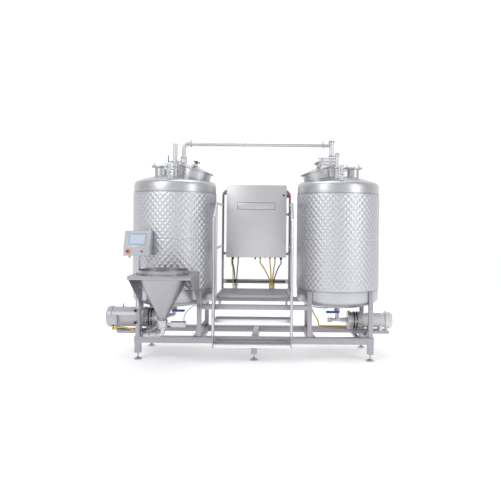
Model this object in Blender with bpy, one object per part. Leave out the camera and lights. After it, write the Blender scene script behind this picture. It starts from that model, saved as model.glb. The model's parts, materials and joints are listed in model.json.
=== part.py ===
"""A skid-mounted brewing and blending plant with two jacketed tanks.

Metres, +Z up.  The design frame has X = 0 and Y = 0 midway between the two tank
centres, with the floor at Z = 0 and the operator standing at -Y.  One empty,
plant_origin, moves everything so that the world origin is at floor level under
the middle of the whole plant.
"""

import math

import bmesh
import bpy
from mathutils import Matrix, Vector

# ---------------------------------------------------------------- driving sizes
GAP = 0.0003                     # clearance between pieces that touch
WELD = 0.000002                  # Boolean seams closer than this are one point

TANK_X = 1.07                    # tank centre from the middle of the skid
TANK_RADIUS = 0.530
TANK_WALL = 0.005
SHELL_BOTTOM = 0.75              # straight shell starts
SHELL_TOP = 2.185                # straight shell ends
BOTTOM_HEAD_DEPTH = 0.13
TOP_HEAD_HEIGHT = 0.150
# Dished top head: distance in from the shell and rise, from the shell to the crown
TOP_HEAD_SHAPE = ((0.0, 0.0), (0.012, 0.034), (0.045, 0.058), (0.265, 0.123))
TANK_SIDES = 24

JACKET_THICKNESS = 0.008
JACKET_BOTTOM = 0.87
JACKET_TOP = 2.09

OUTLET_RADIUS = 0.026            # tank outlet and suction line
OUTLET_BOTTOM = 0.585

MANWAY_TILT = math.radians(16)
MANWAY_OFFSET = 0.247            # lid centre from the tank axis, towards the middle
MANWAY_TOP = 2.405               # height of the rim centre
MANWAY_RADIUS = 0.232
MANWAY_RIM_RADIUS = 0.258
MANWAY_SIDES = 16

BLIND_OFFSET = 0.195             # small nozzle from the tank axis, away from the middle
BLIND_RADIUS = 0.078
BLIND_TOP = 2.436

HINGE_BACK = 0.300               # manway hinge line behind the rim's middle
HINGE_RISE = 0.030
HINGE_EAR = 0.030
PIN_RADIUS = 0.006

DOME_VALVE_Y = -0.455
DOME_STUB_RADIUS = 0.019
DOME_STUB_TOP = 2.330
TOP_VALVE_SHIFT = 0.050
TOP_VALVE_Y = -0.310
TOP_STUB_TOP = 2.420

PIPE_RADIUS = 0.029              # risers and crossover pipe
CROSSOVER_Z = 2.795
RISER_X = {-1: -1.029, 1: 1.015}
RISER_Y = 0.380
LEFT_CLAMP_X = -0.928
RIGHT_CLAMP_X = 0.900

RAIL_SIZE = 0.080
RAIL_TOP = 0.290
RAIL_Y = 0.381
SKID_HALF_LENGTH = 1.492
POST_SIZE = 0.074
POST_BOTTOM = 0.085
CORNER_X = 1.451
LEG_SIZE = 0.056
LEG_INNER_X = 0.690
LEG_TOP = 0.862
BEAM_SIZE = 0.060
BEAM_TOP = 0.690

FOOT_RADIUS = 0.0525

STAIR_X = -0.018                 # middle of the platform and the stairs
PLATFORM_WIDTH = 0.925
PLATFORM_TOP = 0.800
PLATFORM_FRONT = -0.290
STEP_RISE = 0.2745
TREAD_DEPTH = 0.165
TREAD_LIP = 0.052
FIRST_TREAD_FRONT = -0.435
SECOND_TREAD_FRONT = -0.605
STRINGER_OFFSET = 0.476
STRINGER_WIDTH = 0.012
STRINGER_FOOT = 0.340            # where the stair rail stands on the stringer

RAIL_TUBE_RADIUS = 0.017
HANDRAIL_TOP = 1.957
HANDRAIL_MIDDLE = 1.388
HANDRAIL_FRONT_Y = -0.325
STAIR_RAIL_Y = -0.600

POST_Y = 0.440
CABINET_POST_OFFSET = 0.4645
CABINET_POST_TOP = 2.187
CABINET_WIDTH = 0.800
CABINET_X = -0.004
CABINET_BOTTOM = 1.250
CABINET_TOP = 2.217
CABINET_FRONT = 0.100
CABINET_BACK = 0.400
SHEET = 0.003
DOOR_THICKNESS = 0.020
GLAND_Y = 0.220
# Glands under the cabinet: place from its middle, radius and length
GLANDS = ((-0.322, 0.020, 0.034), (-0.247, 0.014, 0.016), (-0.017, 0.012, 0.032), (0.051, 0.014, 0.022),
          (0.118, 0.010, 0.016), (0.183, 0.014, 0.022), (0.250, 0.014, 0.022), (0.332, 0.020, 0.034))
# Cables in each loom: gland place, gland length, cable radius, place at the tie
LEFT_LOOM = ((-0.322, 0.034, 0.009, -0.010), (-0.247, 0.016, 0.009, 0.012))
RIGHT_LOOM = ((0.051, 0.022, 0.007, -0.030), (0.183, 0.022, 0.007, -0.010), (0.250, 0.022, 0.007, 0.010),
              (0.332, 0.034, 0.008, 0.032))
LOOM_TIE = {"left": -0.295, "right": 0.205}
SWITCH_Y = 0.200
SWITCH_Z = 2.078
STOP_Z = 1.830
LOCK_Z = 2.083

HOPPER_X = -1.044
HOPPER_Y = -0.862
HOPPER_RADIUS = 0.285
HOPPER_RIM_TOP = 1.162
HOPPER_RIM_BOTTOM = 1.058
HOPPER_OUTLET_RADIUS = 0.038
HOPPER_OUTLET_Z = 0.588
HOPPER_SIDES = 20
TABLE_LEFT = -1.385
TABLE_RIGHT = -0.676
TABLE_FRONT = -1.170
TABLE_BAR = 0.043
TABLE_TOP = 1.112
TABLE_ARM_END = -0.480

MAST_X = -1.411
MAST_Y = -0.545
MAST_RADIUS = 0.019
SOCKET_RADIUS = 0.030
SOCKET_BOTTOM = 0.318
SOCKET_TOP = 0.655
HMI_X = -1.411
HMI_WIDTH = 0.317
HMI_BOTTOM = 1.305
HMI_TOP = 1.603
HMI_DEPTH = 0.145

VALVE_HEIGHT = 0.078
OUTLET_VALVE_HEIGHT = 0.050
ACTUATOR_START = 0.0933          # hopper valve actuator from the hopper's axis
STEM_RADIUS = 0.005
INLET_RADIUS = 0.028
PANEL_STOP_X = -1.516
PANEL_BUTTON_X = -1.349
PANEL_BUTTON_Z = 1.360

LEFT_PUMP_Y = -0.150
LEFT_PUMP_Z = 0.490
LEFT_MOTOR_END = -1.900
RIGHT_PUMP_Y = 0.0
RIGHT_PUMP_Z = 0.446
RIGHT_MOTOR_END = 1.790

PLANT_REAR = TANK_RADIUS + JACKET_THICKNESS
ORIGIN_X = (LEFT_MOTOR_END + RIGHT_MOTOR_END) / 2
ORIGIN_Y = (TABLE_FRONT + PLANT_REAR) / 2

# ------------------------------------------------------------------- materials
FINISHES = {
    "satin_steel": ((0.56, 0.56, 0.58), 0.38, 1.0),
    "polished_steel": ((0.72, 0.72, 0.74), 0.18, 1.0),
    "cabinet_steel": ((0.52, 0.52, 0.53), 0.45, 1.0),
    "grating_steel": ((0.30, 0.29, 0.32), 0.55, 1.0),
    "motor_steel": ((0.50, 0.50, 0.52), 0.35, 1.0),
    "black_plastic": ((0.02, 0.02, 0.025), 0.50, 0.0),
    "black_rubber": ((0.03, 0.03, 0.03), 0.80, 0.0),
    "blue_plastic": ((0.02, 0.06, 0.35), 0.40, 0.0),
    "red_plastic": ((0.60, 0.02, 0.03), 0.35, 0.0),
    "cable_black": ((0.03, 0.03, 0.03), 0.60, 0.0),
    "cable_yellow": ((0.65, 0.42, 0.03), 0.55, 0.0),
}


def clear_scene():
    for thing in list(bpy.data.objects):
        bpy.data.objects.remove(thing, do_unlink=True)


def make_material(name):
    colour, roughness, metallic = FINISHES[name]
    material = bpy.data.materials.get(name) or bpy.data.materials.new(name)
    material.use_nodes = True
    shader = material.node_tree.nodes["Principled BSDF"]
    shader.inputs["Base Color"].default_value = (*colour, 1.0)
    shader.inputs["Roughness"].default_value = roughness
    shader.inputs["Metallic"].default_value = metallic
    return material


# ------------------------------------------------------------ solids and joins
def solid_from(mesh_builder):
    """A temporary object holding the bmesh, with its faces pointing out."""
    bmesh.ops.recalc_face_normals(mesh_builder, faces=mesh_builder.faces)
    mesh = bpy.data.meshes.new("solid")
    mesh_builder.to_mesh(mesh)
    mesh_builder.free()
    solid = bpy.data.objects.new("solid", mesh)
    bpy.context.scene.collection.objects.link(solid)
    return solid


def block(low, high):
    """A box between two corners."""
    builder = bmesh.new()
    bmesh.ops.create_cube(builder, size=1.0)
    size = Vector(high) - Vector(low)
    middle = (Vector(high) + Vector(low)) / 2
    bmesh.ops.scale(builder, vec=size, verts=builder.verts)
    bmesh.ops.translate(builder, vec=middle, verts=builder.verts)
    return solid_from(builder)


def prism(outline, low, high, axis="X"):
    """An outline of two-value points, extruded along one axis from low to high."""
    def place(point, depth):
        first, second = point
        spots = {"X": (depth, first, second), "Y": (first, depth, second),
                 "Z": (first, second, depth)}
        return spots[axis]

    builder = bmesh.new()
    start = [builder.verts.new(place(point, low)) for point in outline]
    end = [builder.verts.new(place(point, high)) for point in outline]
    builder.faces.new(start)
    builder.faces.new(end)
    for index in range(len(outline)):
        following = (index + 1) % len(outline)
        builder.faces.new((start[index], start[following], end[following], end[index]))
    return solid_from(builder)


def turned(outline, sides, centre=(0, 0, 0), axis="Z", tilt=0.0):
    """A closed outline of (radius, height) points, turned about one axis.

    With axis Z the outline's height runs up; X and Y lay it along +X and +Y.
    A tilt leans a Z axis towards +X.
    """
    builder = bmesh.new()
    rings = []
    for radius, height in outline:
        if radius < 1e-6:
            rings.append([builder.verts.new((0, 0, height))])
            continue
        ring = []
        for index in range(sides):
            angle = 2 * math.pi * index / sides
            spot = (radius * math.cos(angle), radius * math.sin(angle), height)
            ring.append(builder.verts.new(spot))
        rings.append(ring)
    for number, ring in enumerate(rings):
        other = rings[(number + 1) % len(rings)]
        if len(ring) == 1 and len(other) == 1:
            continue
        for index in range(sides):
            following = (index + 1) % sides
            if len(ring) == 1:
                builder.faces.new((ring[0], other[index], other[following]))
            elif len(other) == 1:
                builder.faces.new((ring[index], ring[following], other[0]))
            else:
                builder.faces.new((ring[index], ring[following], other[following], other[index]))
    turns = {"Z": Matrix.Rotation(tilt, 4, "Y"), "X": Matrix.Rotation(math.pi / 2, 4, "Y"),
             "Y": Matrix.Rotation(-math.pi / 2, 4, "X")}
    matrix = Matrix.Translation(centre) @ turns[axis]
    bmesh.ops.transform(builder, matrix=matrix, verts=builder.verts)
    return solid_from(builder)


def rod(radius, low, high, sides=16, centre=(0, 0, 0), axis="Z", tilt=0.0):
    """A plain round bar from low to high along its axis."""
    outline = [(0, low), (radius, low), (radius, high), (0, high)]
    return turned(outline, sides, centre, axis, tilt)


def running_bore(radius, sides=8):
    """Radius of a many-sided hole whose flats clear a turning bar."""
    return (radius + GAP) / math.cos(math.pi / sides)


def bent_path(corners, radius, steps=4):
    """The corner points with each inner corner rounded to an arc."""
    corners = [Vector(corner) for corner in corners]
    path = [corners[0]]
    for before, corner, after in zip(corners, corners[1:], corners[2:]):
        inward = (before - corner).normalized()
        onward = (after - corner).normalized()
        half = inward.angle(onward) / 2
        reach = radius / math.tan(half)
        centre = corner + (inward + onward).normalized() * radius / math.sin(half)
        start = corner + inward * reach - centre
        end = corner + onward * reach - centre
        for step in range(steps + 1):
            path.append(centre + start.slerp(end, step / steps).normalized() * radius)
    path.append(corners[-1])
    return path


def tube(path, radius, sides=10):
    """A round bar swept along a path of points."""
    points = [Vector(point) for point in path]
    builder = bmesh.new()
    rings = []
    across = None
    for index, point in enumerate(points):
        before = points[max(index - 1, 0)]
        after = points[min(index + 1, len(points) - 1)]
        along = (after - before).normalized()
        if across is None:
            across = along.orthogonal().normalized()
        across = (across - along * across.dot(along)).normalized()
        other = along.cross(across)
        ring = []
        for side in range(sides):
            angle = 2 * math.pi * (side + 0.5) / sides
            spot = point + (across * math.cos(angle) + other * math.sin(angle)) * radius
            ring.append(builder.verts.new(spot))
        rings.append(ring)
    for ring, following in zip(rings, rings[1:]):
        for side in range(sides):
            beside = (side + 1) % sides
            builder.faces.new((ring[side], ring[beside], following[beside], following[side]))
    builder.faces.new(rings[0])
    builder.faces.new(rings[-1])
    return solid_from(builder)


def smooth_path(knots, steps=4):
    """A Catmull-Rom curve read at even steps through the route's own points."""
    knots = [Vector(knot) for knot in knots]
    padded = [2 * knots[0] - knots[1]] + knots + [2 * knots[-1] - knots[-2]]
    path = []
    for index in range(1, len(padded) - 2):
        before, start, end, after = padded[index - 1:index + 3]
        for step in range(steps):
            t = step / steps
            path.append(0.5 * (2 * start + (end - before) * t
                               + (2 * before - 5 * start + 4 * end - after) * t * t
                               + (3 * start - before - 3 * end + after) * t ** 3))
    path.append(knots[-1])
    return path


def combine(base, tool, operation):
    """One Boolean step, with the seams it leaves welded and flat faces merged."""
    modifier = base.modifiers.new(operation.lower(), "BOOLEAN")
    modifier.operation = operation
    modifier.solver = "EXACT"
    modifier.object = tool
    graph = bpy.context.evaluated_depsgraph_get()
    mesh = bpy.data.meshes.new_from_object(base.evaluated_get(graph))
    base.modifiers.clear()
    base.data = mesh
    bpy.data.objects.remove(tool, do_unlink=True)
    builder = bmesh.new()
    builder.from_mesh(mesh)
    bmesh.ops.remove_doubles(builder, verts=builder.verts, dist=WELD)
    bmesh.ops.dissolve_limit(builder, angle_limit=math.radians(0.05), use_dissolve_boundaries=False,
                             verts=builder.verts, edges=builder.edges)
    builder.to_mesh(mesh)
    builder.free()


def piece(name, solids, finish, cutters=(), pivot=(0, 0, 0)):
    """One named sub-part: its solids joined, its cutters taken away.

    The object's origin is at the pivot, which is a point on its joint's axis
    for a piece that moves.
    """
    base = solids[0]
    for solid in solids[1:]:
        combine(base, solid, "UNION")
    for tool in cutters:
        combine(base, tool, "DIFFERENCE")
    mesh = base.data
    mesh.transform(Matrix.Translation(-Vector(pivot)))
    mesh.materials.clear()
    mesh.materials.append(make_material(finish))
    mesh.shade_smooth()
    mesh.set_sharp_from_angle(angle=math.radians(35))
    mesh.name = name
    base.name = name
    base.location = pivot
    base.parent = bpy.data.objects["plant_origin"]
    return base


def ring_outline(inner, outer, low, high):
    return [(inner, low), (outer, low), (outer, high), (inner, high)]


# ------------------------------------------------------------------- the frame
def build_skid():
    """Rails, posts, tank legs and beams, welded into one frame."""
    low_z = RAIL_TOP - RAIL_SIZE
    half = RAIL_SIZE / 2
    solids = []
    for y in (-RAIL_Y, RAIL_Y):
        solids.append(block((-SKID_HALF_LENGTH, y - half, low_z), (SKID_HALF_LENGTH, y + half, RAIL_TOP)))
        for x in (-CORNER_X, 0, CORNER_X):
            size = POST_SIZE / 2
            solids.append(block((x - size, y - size, POST_BOTTOM), (x + size, y + size, RAIL_TOP - 0.01)))
        solids.append(block((-LEG_INNER_X, y - 0.027, BEAM_TOP - BEAM_SIZE),
                            (LEG_INNER_X, y + 0.027, BEAM_TOP)))
    for x in (-CORNER_X, -LEG_INNER_X, 0, LEG_INNER_X, CORNER_X):
        width = half - 0.003
        solids.append(block((x - width, -RAIL_Y, low_z + 0.002), (x + width, RAIL_Y, RAIL_TOP - 0.002)))
    for x in (-CORNER_X, -LEG_INNER_X, LEG_INNER_X, CORNER_X):
        for y in (-RAIL_Y, RAIL_Y):
            size = LEG_SIZE / 2
            solids.append(block((x - size, y - size, RAIL_TOP - 0.02), (x + size, y + size, LEG_TOP)))
            inward = -math.copysign(1, x) if abs(x) > 1 else math.copysign(1, x)
            foot = [(x, RAIL_TOP - 0.01), (x + inward * 0.09, RAIL_TOP - 0.01), (x, RAIL_TOP + 0.11)]
            solids.append(prism(foot, y - 0.004, y + 0.004, axis="Y"))
    for x in (-LEG_INNER_X, LEG_INNER_X):
        solids.append(block((x - 0.024, -RAIL_Y, BEAM_TOP - 0.055), (x + 0.024, RAIL_Y, BEAM_TOP - 0.003)))
    solids.append(rod(SOCKET_RADIUS, SOCKET_BOTTOM, SOCKET_TOP, 10, (MAST_X, MAST_Y, 0)))
    for z in (0.585, 0.36):
        solids.append(block((MAST_X - 0.032, MAST_Y, z - 0.012), (MAST_X - 0.014, -RAIL_Y, z + 0.012)))
    left_bar = LEFT_PUMP_Z - 0.16
    solids.append(block((-1.76, LEFT_PUMP_Y - 0.09, left_bar - 0.04), (-1.235, LEFT_PUMP_Y - 0.05, left_bar)))
    solids.append(block((-1.76, LEFT_PUMP_Y + 0.05, left_bar - 0.04), (-1.235, LEFT_PUMP_Y + 0.09, left_bar)))
    right_bar = RIGHT_PUMP_Z - 0.125
    for side in (-1, 1):
        y = RIGHT_PUMP_Y + side * 0.065
        solids.append(block((1.26, y - 0.018, right_bar - 0.038), (1.745, y + 0.018, right_bar)))
    for x, y, top in ((-CORNER_X, LEFT_PUMP_Y, left_bar - 0.01), (-1.26, LEFT_PUMP_Y, left_bar - 0.01),
                      (CORNER_X, RIGHT_PUMP_Y, right_bar - 0.01), (1.30, RIGHT_PUMP_Y, right_bar - 0.01)):
        solids.append(block((x - 0.02, y - 0.11, RAIL_TOP - 0.012), (x + 0.02, y + 0.11, top)))
    for x in (-1.26, 1.30):
        solids.append(block((x - 0.021, -RAIL_Y, RAIL_TOP - 0.05), (x + 0.021, RAIL_Y, RAIL_TOP - 0.006)))
    cutters = []
    for side in (-1, 1):
        cutters.append(rod(TANK_RADIUS + GAP, 0.60, 1.0, TANK_SIDES, (side * TANK_X, 0, 0)))
    bore = rod(MAST_RADIUS + GAP, SOCKET_BOTTOM + 0.02, SOCKET_TOP + 0.01, 10, (MAST_X, MAST_Y, 0))
    cutters.append(bore)
    for y in (-RAIL_Y, RAIL_Y):
        for x in (-CORNER_X, 0, CORNER_X):
            cutters.append(rod(0.0103, POST_BOTTOM - 0.01, POST_BOTTOM + 0.07, 8, (x, y, 0)))
    piece("skid_frame", solids, "satin_steel", cutters)


def build_feet():
    """Six levelling feet: a steel pad, a stem and the jam nut that locks it."""
    names = {-RAIL_Y: "front", RAIL_Y: "rear"}
    for y, row in names.items():
        for x, column in ((-CORNER_X, "left"), (0.0, "middle"), (CORNER_X, "right")):
            outline = [(0, 0), (FOOT_RADIUS, 0), (FOOT_RADIUS, 0.010), (0.016, 0.031),
                       (0.010, 0.036), (0.010, POST_BOTTOM + 0.060), (0, POST_BOTTOM + 0.060)]
            nut = rod(0.017, POST_BOTTOM - 0.016, POST_BOTTOM - GAP, 6, (x, y, 0))
            piece(f"levelling_foot_{row}_{column}", [turned(outline, 8, (x, y, 0)), nut], "satin_steel")


# ------------------------------------------------------------------- the tanks
def head_points(radius, edge_z, depth, steps=3):
    """Half of a semi-elliptical head, from the shell's edge in to the axis."""
    points = []
    for step in range(steps + 1):
        angle = math.pi / 2 * step / steps
        points.append((radius * math.cos(angle), edge_z + depth * math.sin(angle)))
    points[-1] = (0.0, edge_z + depth)
    return points


def dished_points(radius, edge_z, depth):
    """Half of the dished top head: a tight knuckle at the shell, then a shallow crown."""
    share = depth / TOP_HEAD_HEIGHT
    points = [(radius - inward, edge_z + rise * share) for inward, rise in TOP_HEAD_SHAPE]
    return points + [(0.0, edge_z + depth)]


def tank_outline(inset):
    """The closed outline of a tank, from the bottom centre round to the top centre."""
    radius = TANK_RADIUS - inset
    bottom = head_points(radius, SHELL_BOTTOM, -(BOTTOM_HEAD_DEPTH - inset))
    top = dished_points(radius, SHELL_TOP, TOP_HEAD_HEIGHT - inset)
    return bottom[::-1] + top


def rim_matrix(side):
    """Places a solid drawn about the middle of the manway rim, with the rim flat."""
    centre = Vector((side * (TANK_X - MANWAY_OFFSET), 0, MANWAY_TOP))
    return Matrix.Translation(centre) @ Matrix.Rotation(-side * MANWAY_TILT, 4, "Y")


def on_rim(side, solid):
    solid.data.transform(rim_matrix(side))
    return solid


def build_tank(side, hand):
    """The hollow tank with its manway neck, small nozzle and bottom outlet."""
    x = side * TANK_X
    shell = turned(tank_outline(0), TANK_SIDES, (x, 0, 0))
    neck = [(0, -0.26), (MANWAY_RADIUS, -0.26), (MANWAY_RADIUS, -0.014), (MANWAY_RIM_RADIUS, -0.010),
            (MANWAY_RIM_RADIUS, 0), (0, 0)]
    solids = [shell, on_rim(side, turned(neck, MANWAY_SIDES))]
    blind_x = x + side * BLIND_OFFSET
    solids.append(rod(BLIND_RADIUS, 2.20, BLIND_TOP - 0.01, 14, (blind_x, 0, 0)))
    solids.append(rod(BLIND_RADIUS + 0.040, BLIND_TOP - 0.012, BLIND_TOP, 14, (blind_x, 0, 0)))
    solids.append(rod(OUTLET_RADIUS, OUTLET_BOTTOM + 0.001, 0.70, 10, (x, 0, 0)))
    solids.append(rod(OUTLET_RADIUS + 0.012, OUTLET_BOTTOM, OUTLET_BOTTOM + 0.006, 10, (x, 0, 0)))
    for ear in (-1, 1):
        outline = [(0.225, -0.070), (HINGE_BACK, -0.014), (HINGE_BACK + 0.014, 0.0),
                   (HINGE_BACK + 0.014, HINGE_RISE + 0.012), (HINGE_BACK - 0.014, HINGE_RISE + 0.012),
                   (HINGE_BACK - 0.014, -0.004), (0.225, -0.004)]
        middle = ear * HINGE_EAR
        solids.append(on_rim(side, prism(outline, middle - 0.005, middle + 0.005)))
    stub_x = x + (TOP_VALVE_SHIFT if side < 0 else -TOP_VALVE_SHIFT)
    solids.append(rod(PIPE_RADIUS, 2.25, TOP_STUB_TOP, 8, (stub_x, TOP_VALVE_Y, 0)))
    solids.append(rod(PIPE_RADIUS, 2.25, TOP_STUB_TOP, 8, (RISER_X[side], RISER_Y, 0)))
    solids.append(rod(DOME_STUB_RADIUS, 2.20, DOME_STUB_TOP, 8, (x, DOME_VALVE_Y, 0)))
    cutters = [turned(tank_outline(TANK_WALL), TANK_SIDES, (x, 0, 0))]
    cutters.append(on_rim(side, rod(MANWAY_RADIUS - 0.006, -0.30, 0.05, MANWAY_SIDES)))
    cutters.append(rod(BLIND_RADIUS - 0.004, 2.15, BLIND_TOP + 0.01, 14, (blind_x, 0, 0)))
    cutters.append(rod(OUTLET_RADIUS - 0.003, OUTLET_BOTTOM - 0.01, 0.72, 10, (x, 0, 0)))
    cutters.append(on_rim(side, rod(running_bore(PIN_RADIUS), -0.06, 0.06, 8, (0, HINGE_BACK, HINGE_RISE), "X")))
    piece(f"tank_vessel_{hand}", solids, "satin_steel", cutters)


def build_jacket(side, hand):
    """The welded cooling jacket, a sleeve round the straight shell."""
    sleeve = turned(ring_outline(TANK_RADIUS + GAP, TANK_RADIUS + JACKET_THICKNESS, JACKET_BOTTOM, JACKET_TOP),
                    TANK_SIDES, (side * TANK_X, 0, 0))
    piece(f"tank_jacket_{hand}", [sleeve], "satin_steel")


def build_manway(side, hand):
    """Lid, yoke and hand knob.  Lid and yoke swing on the rear hinge."""
    pivot = rim_matrix(side) @ Vector((0, HINGE_BACK, HINGE_RISE))
    lid = [(0, 0.042), (0.012, 0.042), (0.13, 0.032), (0.236, 0.006), (0.262, 0.005),
           (0.262, GAP), (0.226, GAP), (0.13, 0.024), (0, 0.035)]
    piece(f"manway_lid_{hand}", [on_rim(side, turned(lid, MANWAY_SIDES))], "polished_steel", pivot=pivot)
    bar = [(-0.285, 0.040), (-0.270, 0.062), (HINGE_BACK - 0.035, 0.062), (HINGE_BACK, HINGE_RISE + 0.012),
           (HINGE_BACK + 0.012, HINGE_RISE), (HINGE_BACK, HINGE_RISE - 0.012),
           (HINGE_BACK - 0.024, HINGE_RISE - 0.004), (HINGE_BACK - 0.050, 0.0478), (-0.262, 0.0478),
           (-0.270, 0.036), (-0.270, -0.030), (-0.285, -0.030)]
    yoke = [on_rim(side, prism(bar, -0.016, 0.016))]
    yoke.append(on_rim(side, rod(0.022, 0.0426, 0.080, 8)))
    yoke.append(on_rim(side, rod(PIN_RADIUS, -0.044, 0.044, 8, (0, HINGE_BACK, HINGE_RISE), "X")))
    spindle = on_rim(side, rod(running_bore(0.008), 0.0424, 0.10, 8))
    piece(f"manway_yoke_{hand}", yoke, "polished_steel", [spindle], pivot)
    knob = [on_rim(side, rod(0.0080, 0.0430, 0.115, 8))]
    knob.append(on_rim(side, rod(0.020, 0.0805, 0.118, 8)))
    for arm in range(3):
        bar_solid = rod(0.008, -0.046, 0.046, 6, (0, 0, 0.104), "X")
        bar_solid.data.transform(Matrix.Rotation(math.pi * arm / 3, 4, "Z"))
        knob.append(on_rim(side, bar_solid))
    piece(f"manway_knob_{hand}", knob, "black_plastic", pivot=rim_matrix(side) @ Vector((0, 0, 0.104)))


def build_blind_flange(side, hand):
    """The bolted cover on the small nozzle, with its three fittings."""
    x = side * (TANK_X + BLIND_OFFSET)
    solids = [rod(BLIND_RADIUS + 0.044, BLIND_TOP + GAP, BLIND_TOP + 0.012, 16, (x, 0, 0))]
    for turn in (200, 320, 20):
        angle = math.radians(turn)
        spot = (x + 0.085 * math.cos(angle), 0.085 * math.sin(angle), 0)
        solids.append(rod(0.007, BLIND_TOP + 0.008, BLIND_TOP + 0.055, 6, spot))
    piece(f"blind_flange_{hand}", solids, "satin_steel")


def build_dome_valve(side, hand):
    """Air vent valve on the front of the dome: body, clamp and a short spout."""
    x = side * TANK_X
    low = DOME_STUB_TOP + GAP
    y = DOME_VALVE_Y
    solids = [rod(0.030, low, low + 0.012, 10, (x, y, 0)), rod(0.020, low + 0.010, low + 0.105, 8, (x, y, 0))]
    solids.append(turned([(0, low + 0.020), (0.022, low + 0.028), (0.031, low + 0.045), (0.022, low + 0.062),
                          (0, low + 0.070)], 10, (x, y, 0)))
    solids.append(rod(0.016, -0.058, 0.058, 8, (x, y, low + 0.045), "X"))
    solids.append(rod(0.028, low + 0.095, low + 0.107, 10, (x, y, 0)))
    piece(f"dome_valve_{hand}", solids, "polished_steel")


def build_top_valves():
    """Left: upright pneumatic cylinder and a lever.  Right: a lying actuator."""
    low = TOP_STUB_TOP + GAP
    x = -TANK_X + TOP_VALVE_SHIFT
    y = TOP_VALVE_Y
    solids = [rod(0.036, low, low + 0.014, 10, (x, y, 0)), rod(0.024, low + 0.01, low + 0.13, 8, (x, y, 0))]
    solids.append(turned([(0, low + 0.02), (0.030, low + 0.03), (0.038, low + 0.055), (0.030, low + 0.08),
                          (0, low + 0.09)], 10, (x, y, 0)))
    solids.append(rod(0.027, low + 0.12, 2.705, 10, (x, y, 0)))
    solids.append(rod(0.018, 0, 0.070, 8, (x, y, low + 0.055), "X"))
    solids.append(rod(0.014, -0.055, 0, 8, (x, y, low + 0.055), "X"))
    bore = rod(running_bore(STEM_RADIUS), -0.090, -0.030, 8, (x, y, low + 0.055), "X")
    piece("vent_valve_left", solids, "polished_steel", [bore])
    lever = [rod(STEM_RADIUS, -0.085, -0.035, 8, (x, y, low + 0.055), "X")]
    lever.append(block((x - 0.092, y - 0.010, low + 0.045), (x - 0.082, y + 0.010, low + 0.135)))
    piece("vent_lever_left", lever, "blue_plastic", pivot=(x - 0.085, y, low + 0.055))
    x = TANK_X - TOP_VALVE_SHIFT
    solids = [rod(0.036, low, low + 0.014, 10, (x, y, 0)), rod(0.022, low + 0.01, low + 0.150, 8, (x, y, 0))]
    solids.append(turned([(0, low + 0.125), (0.022, low + 0.132), (0.033, low + 0.158), (0.022, low + 0.184),
                          (0, low + 0.192)], 10, (x, y, 0)))
    for z, reach in ((low + 0.115, -0.235), (low + 0.075, -0.235), (low + 0.038, -0.245)):
        solids.append(rod(0.013, reach, 0.0, 8, (x, y, z), "X"))
    solids.append(block((x - 0.205, y - 0.016, low + 0.030), (x - 0.165, y + 0.016, low + 0.122)))
    piece("vent_valve_right", solids, "polished_steel")


def build_crossover():
    """Risers on both tanks and the pipe between them, clamped together."""
    low = TOP_STUB_TOP + GAP
    x = RISER_X[-1]
    corner = [(x, RISER_Y, low + 0.005), (x, RISER_Y, CROSSOVER_Z), (LEFT_CLAMP_X - GAP, RISER_Y, CROSSOVER_Z)]
    solids = [tube(bent_path(corner, 0.075, 3), PIPE_RADIUS, 8)]
    for z in (low, 2.510, 2.600):
        solids.append(rod(PIPE_RADIUS + 0.011, z, z + 0.014, 10, (x, RISER_Y, 0)))
    solids.append(rod(0.044, 2.535, 2.590, 10, (x, RISER_Y, 0)))
    solids.append(rod(0.016, -0.095, 0, 8, (x, RISER_Y, 2.560), "X"))
    solids.append(rod(PIPE_RADIUS + 0.011, LEFT_CLAMP_X - 0.012 - x, LEFT_CLAMP_X - GAP - x, 10,
                      (x, RISER_Y, CROSSOVER_Z), "X"))
    piece("riser_left", solids, "polished_steel")
    length = RIGHT_CLAMP_X - LEFT_CLAMP_X
    place = (LEFT_CLAMP_X, RISER_Y, CROSSOVER_Z)
    solids = [rod(PIPE_RADIUS, 0, length, 8, place, "X")]
    for start in (0, length - 0.012):
        solids.append(rod(PIPE_RADIUS + 0.011, start, start + 0.012, 10, place, "X"))
    piece("crossover_pipe", solids, "polished_steel")
    x = RISER_X[1]
    solids = [rod(PIPE_RADIUS, low, CROSSOVER_Z + 0.060, 8, (x, RISER_Y, 0))]
    reach = RIGHT_CLAMP_X + GAP - x
    solids.append(rod(PIPE_RADIUS, reach, 0, 8, (x, RISER_Y, CROSSOVER_Z), "X"))
    solids.append(rod(PIPE_RADIUS + 0.011, reach, reach + 0.012, 10, (x, RISER_Y, CROSSOVER_Z), "X"))
    for z in (low, 2.635, CROSSOVER_Z + 0.050):
        solids.append(rod(PIPE_RADIUS + 0.011, z, z + 0.014, 10, (x, RISER_Y, 0)))
    piece("riser_right", solids, "polished_steel")


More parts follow.
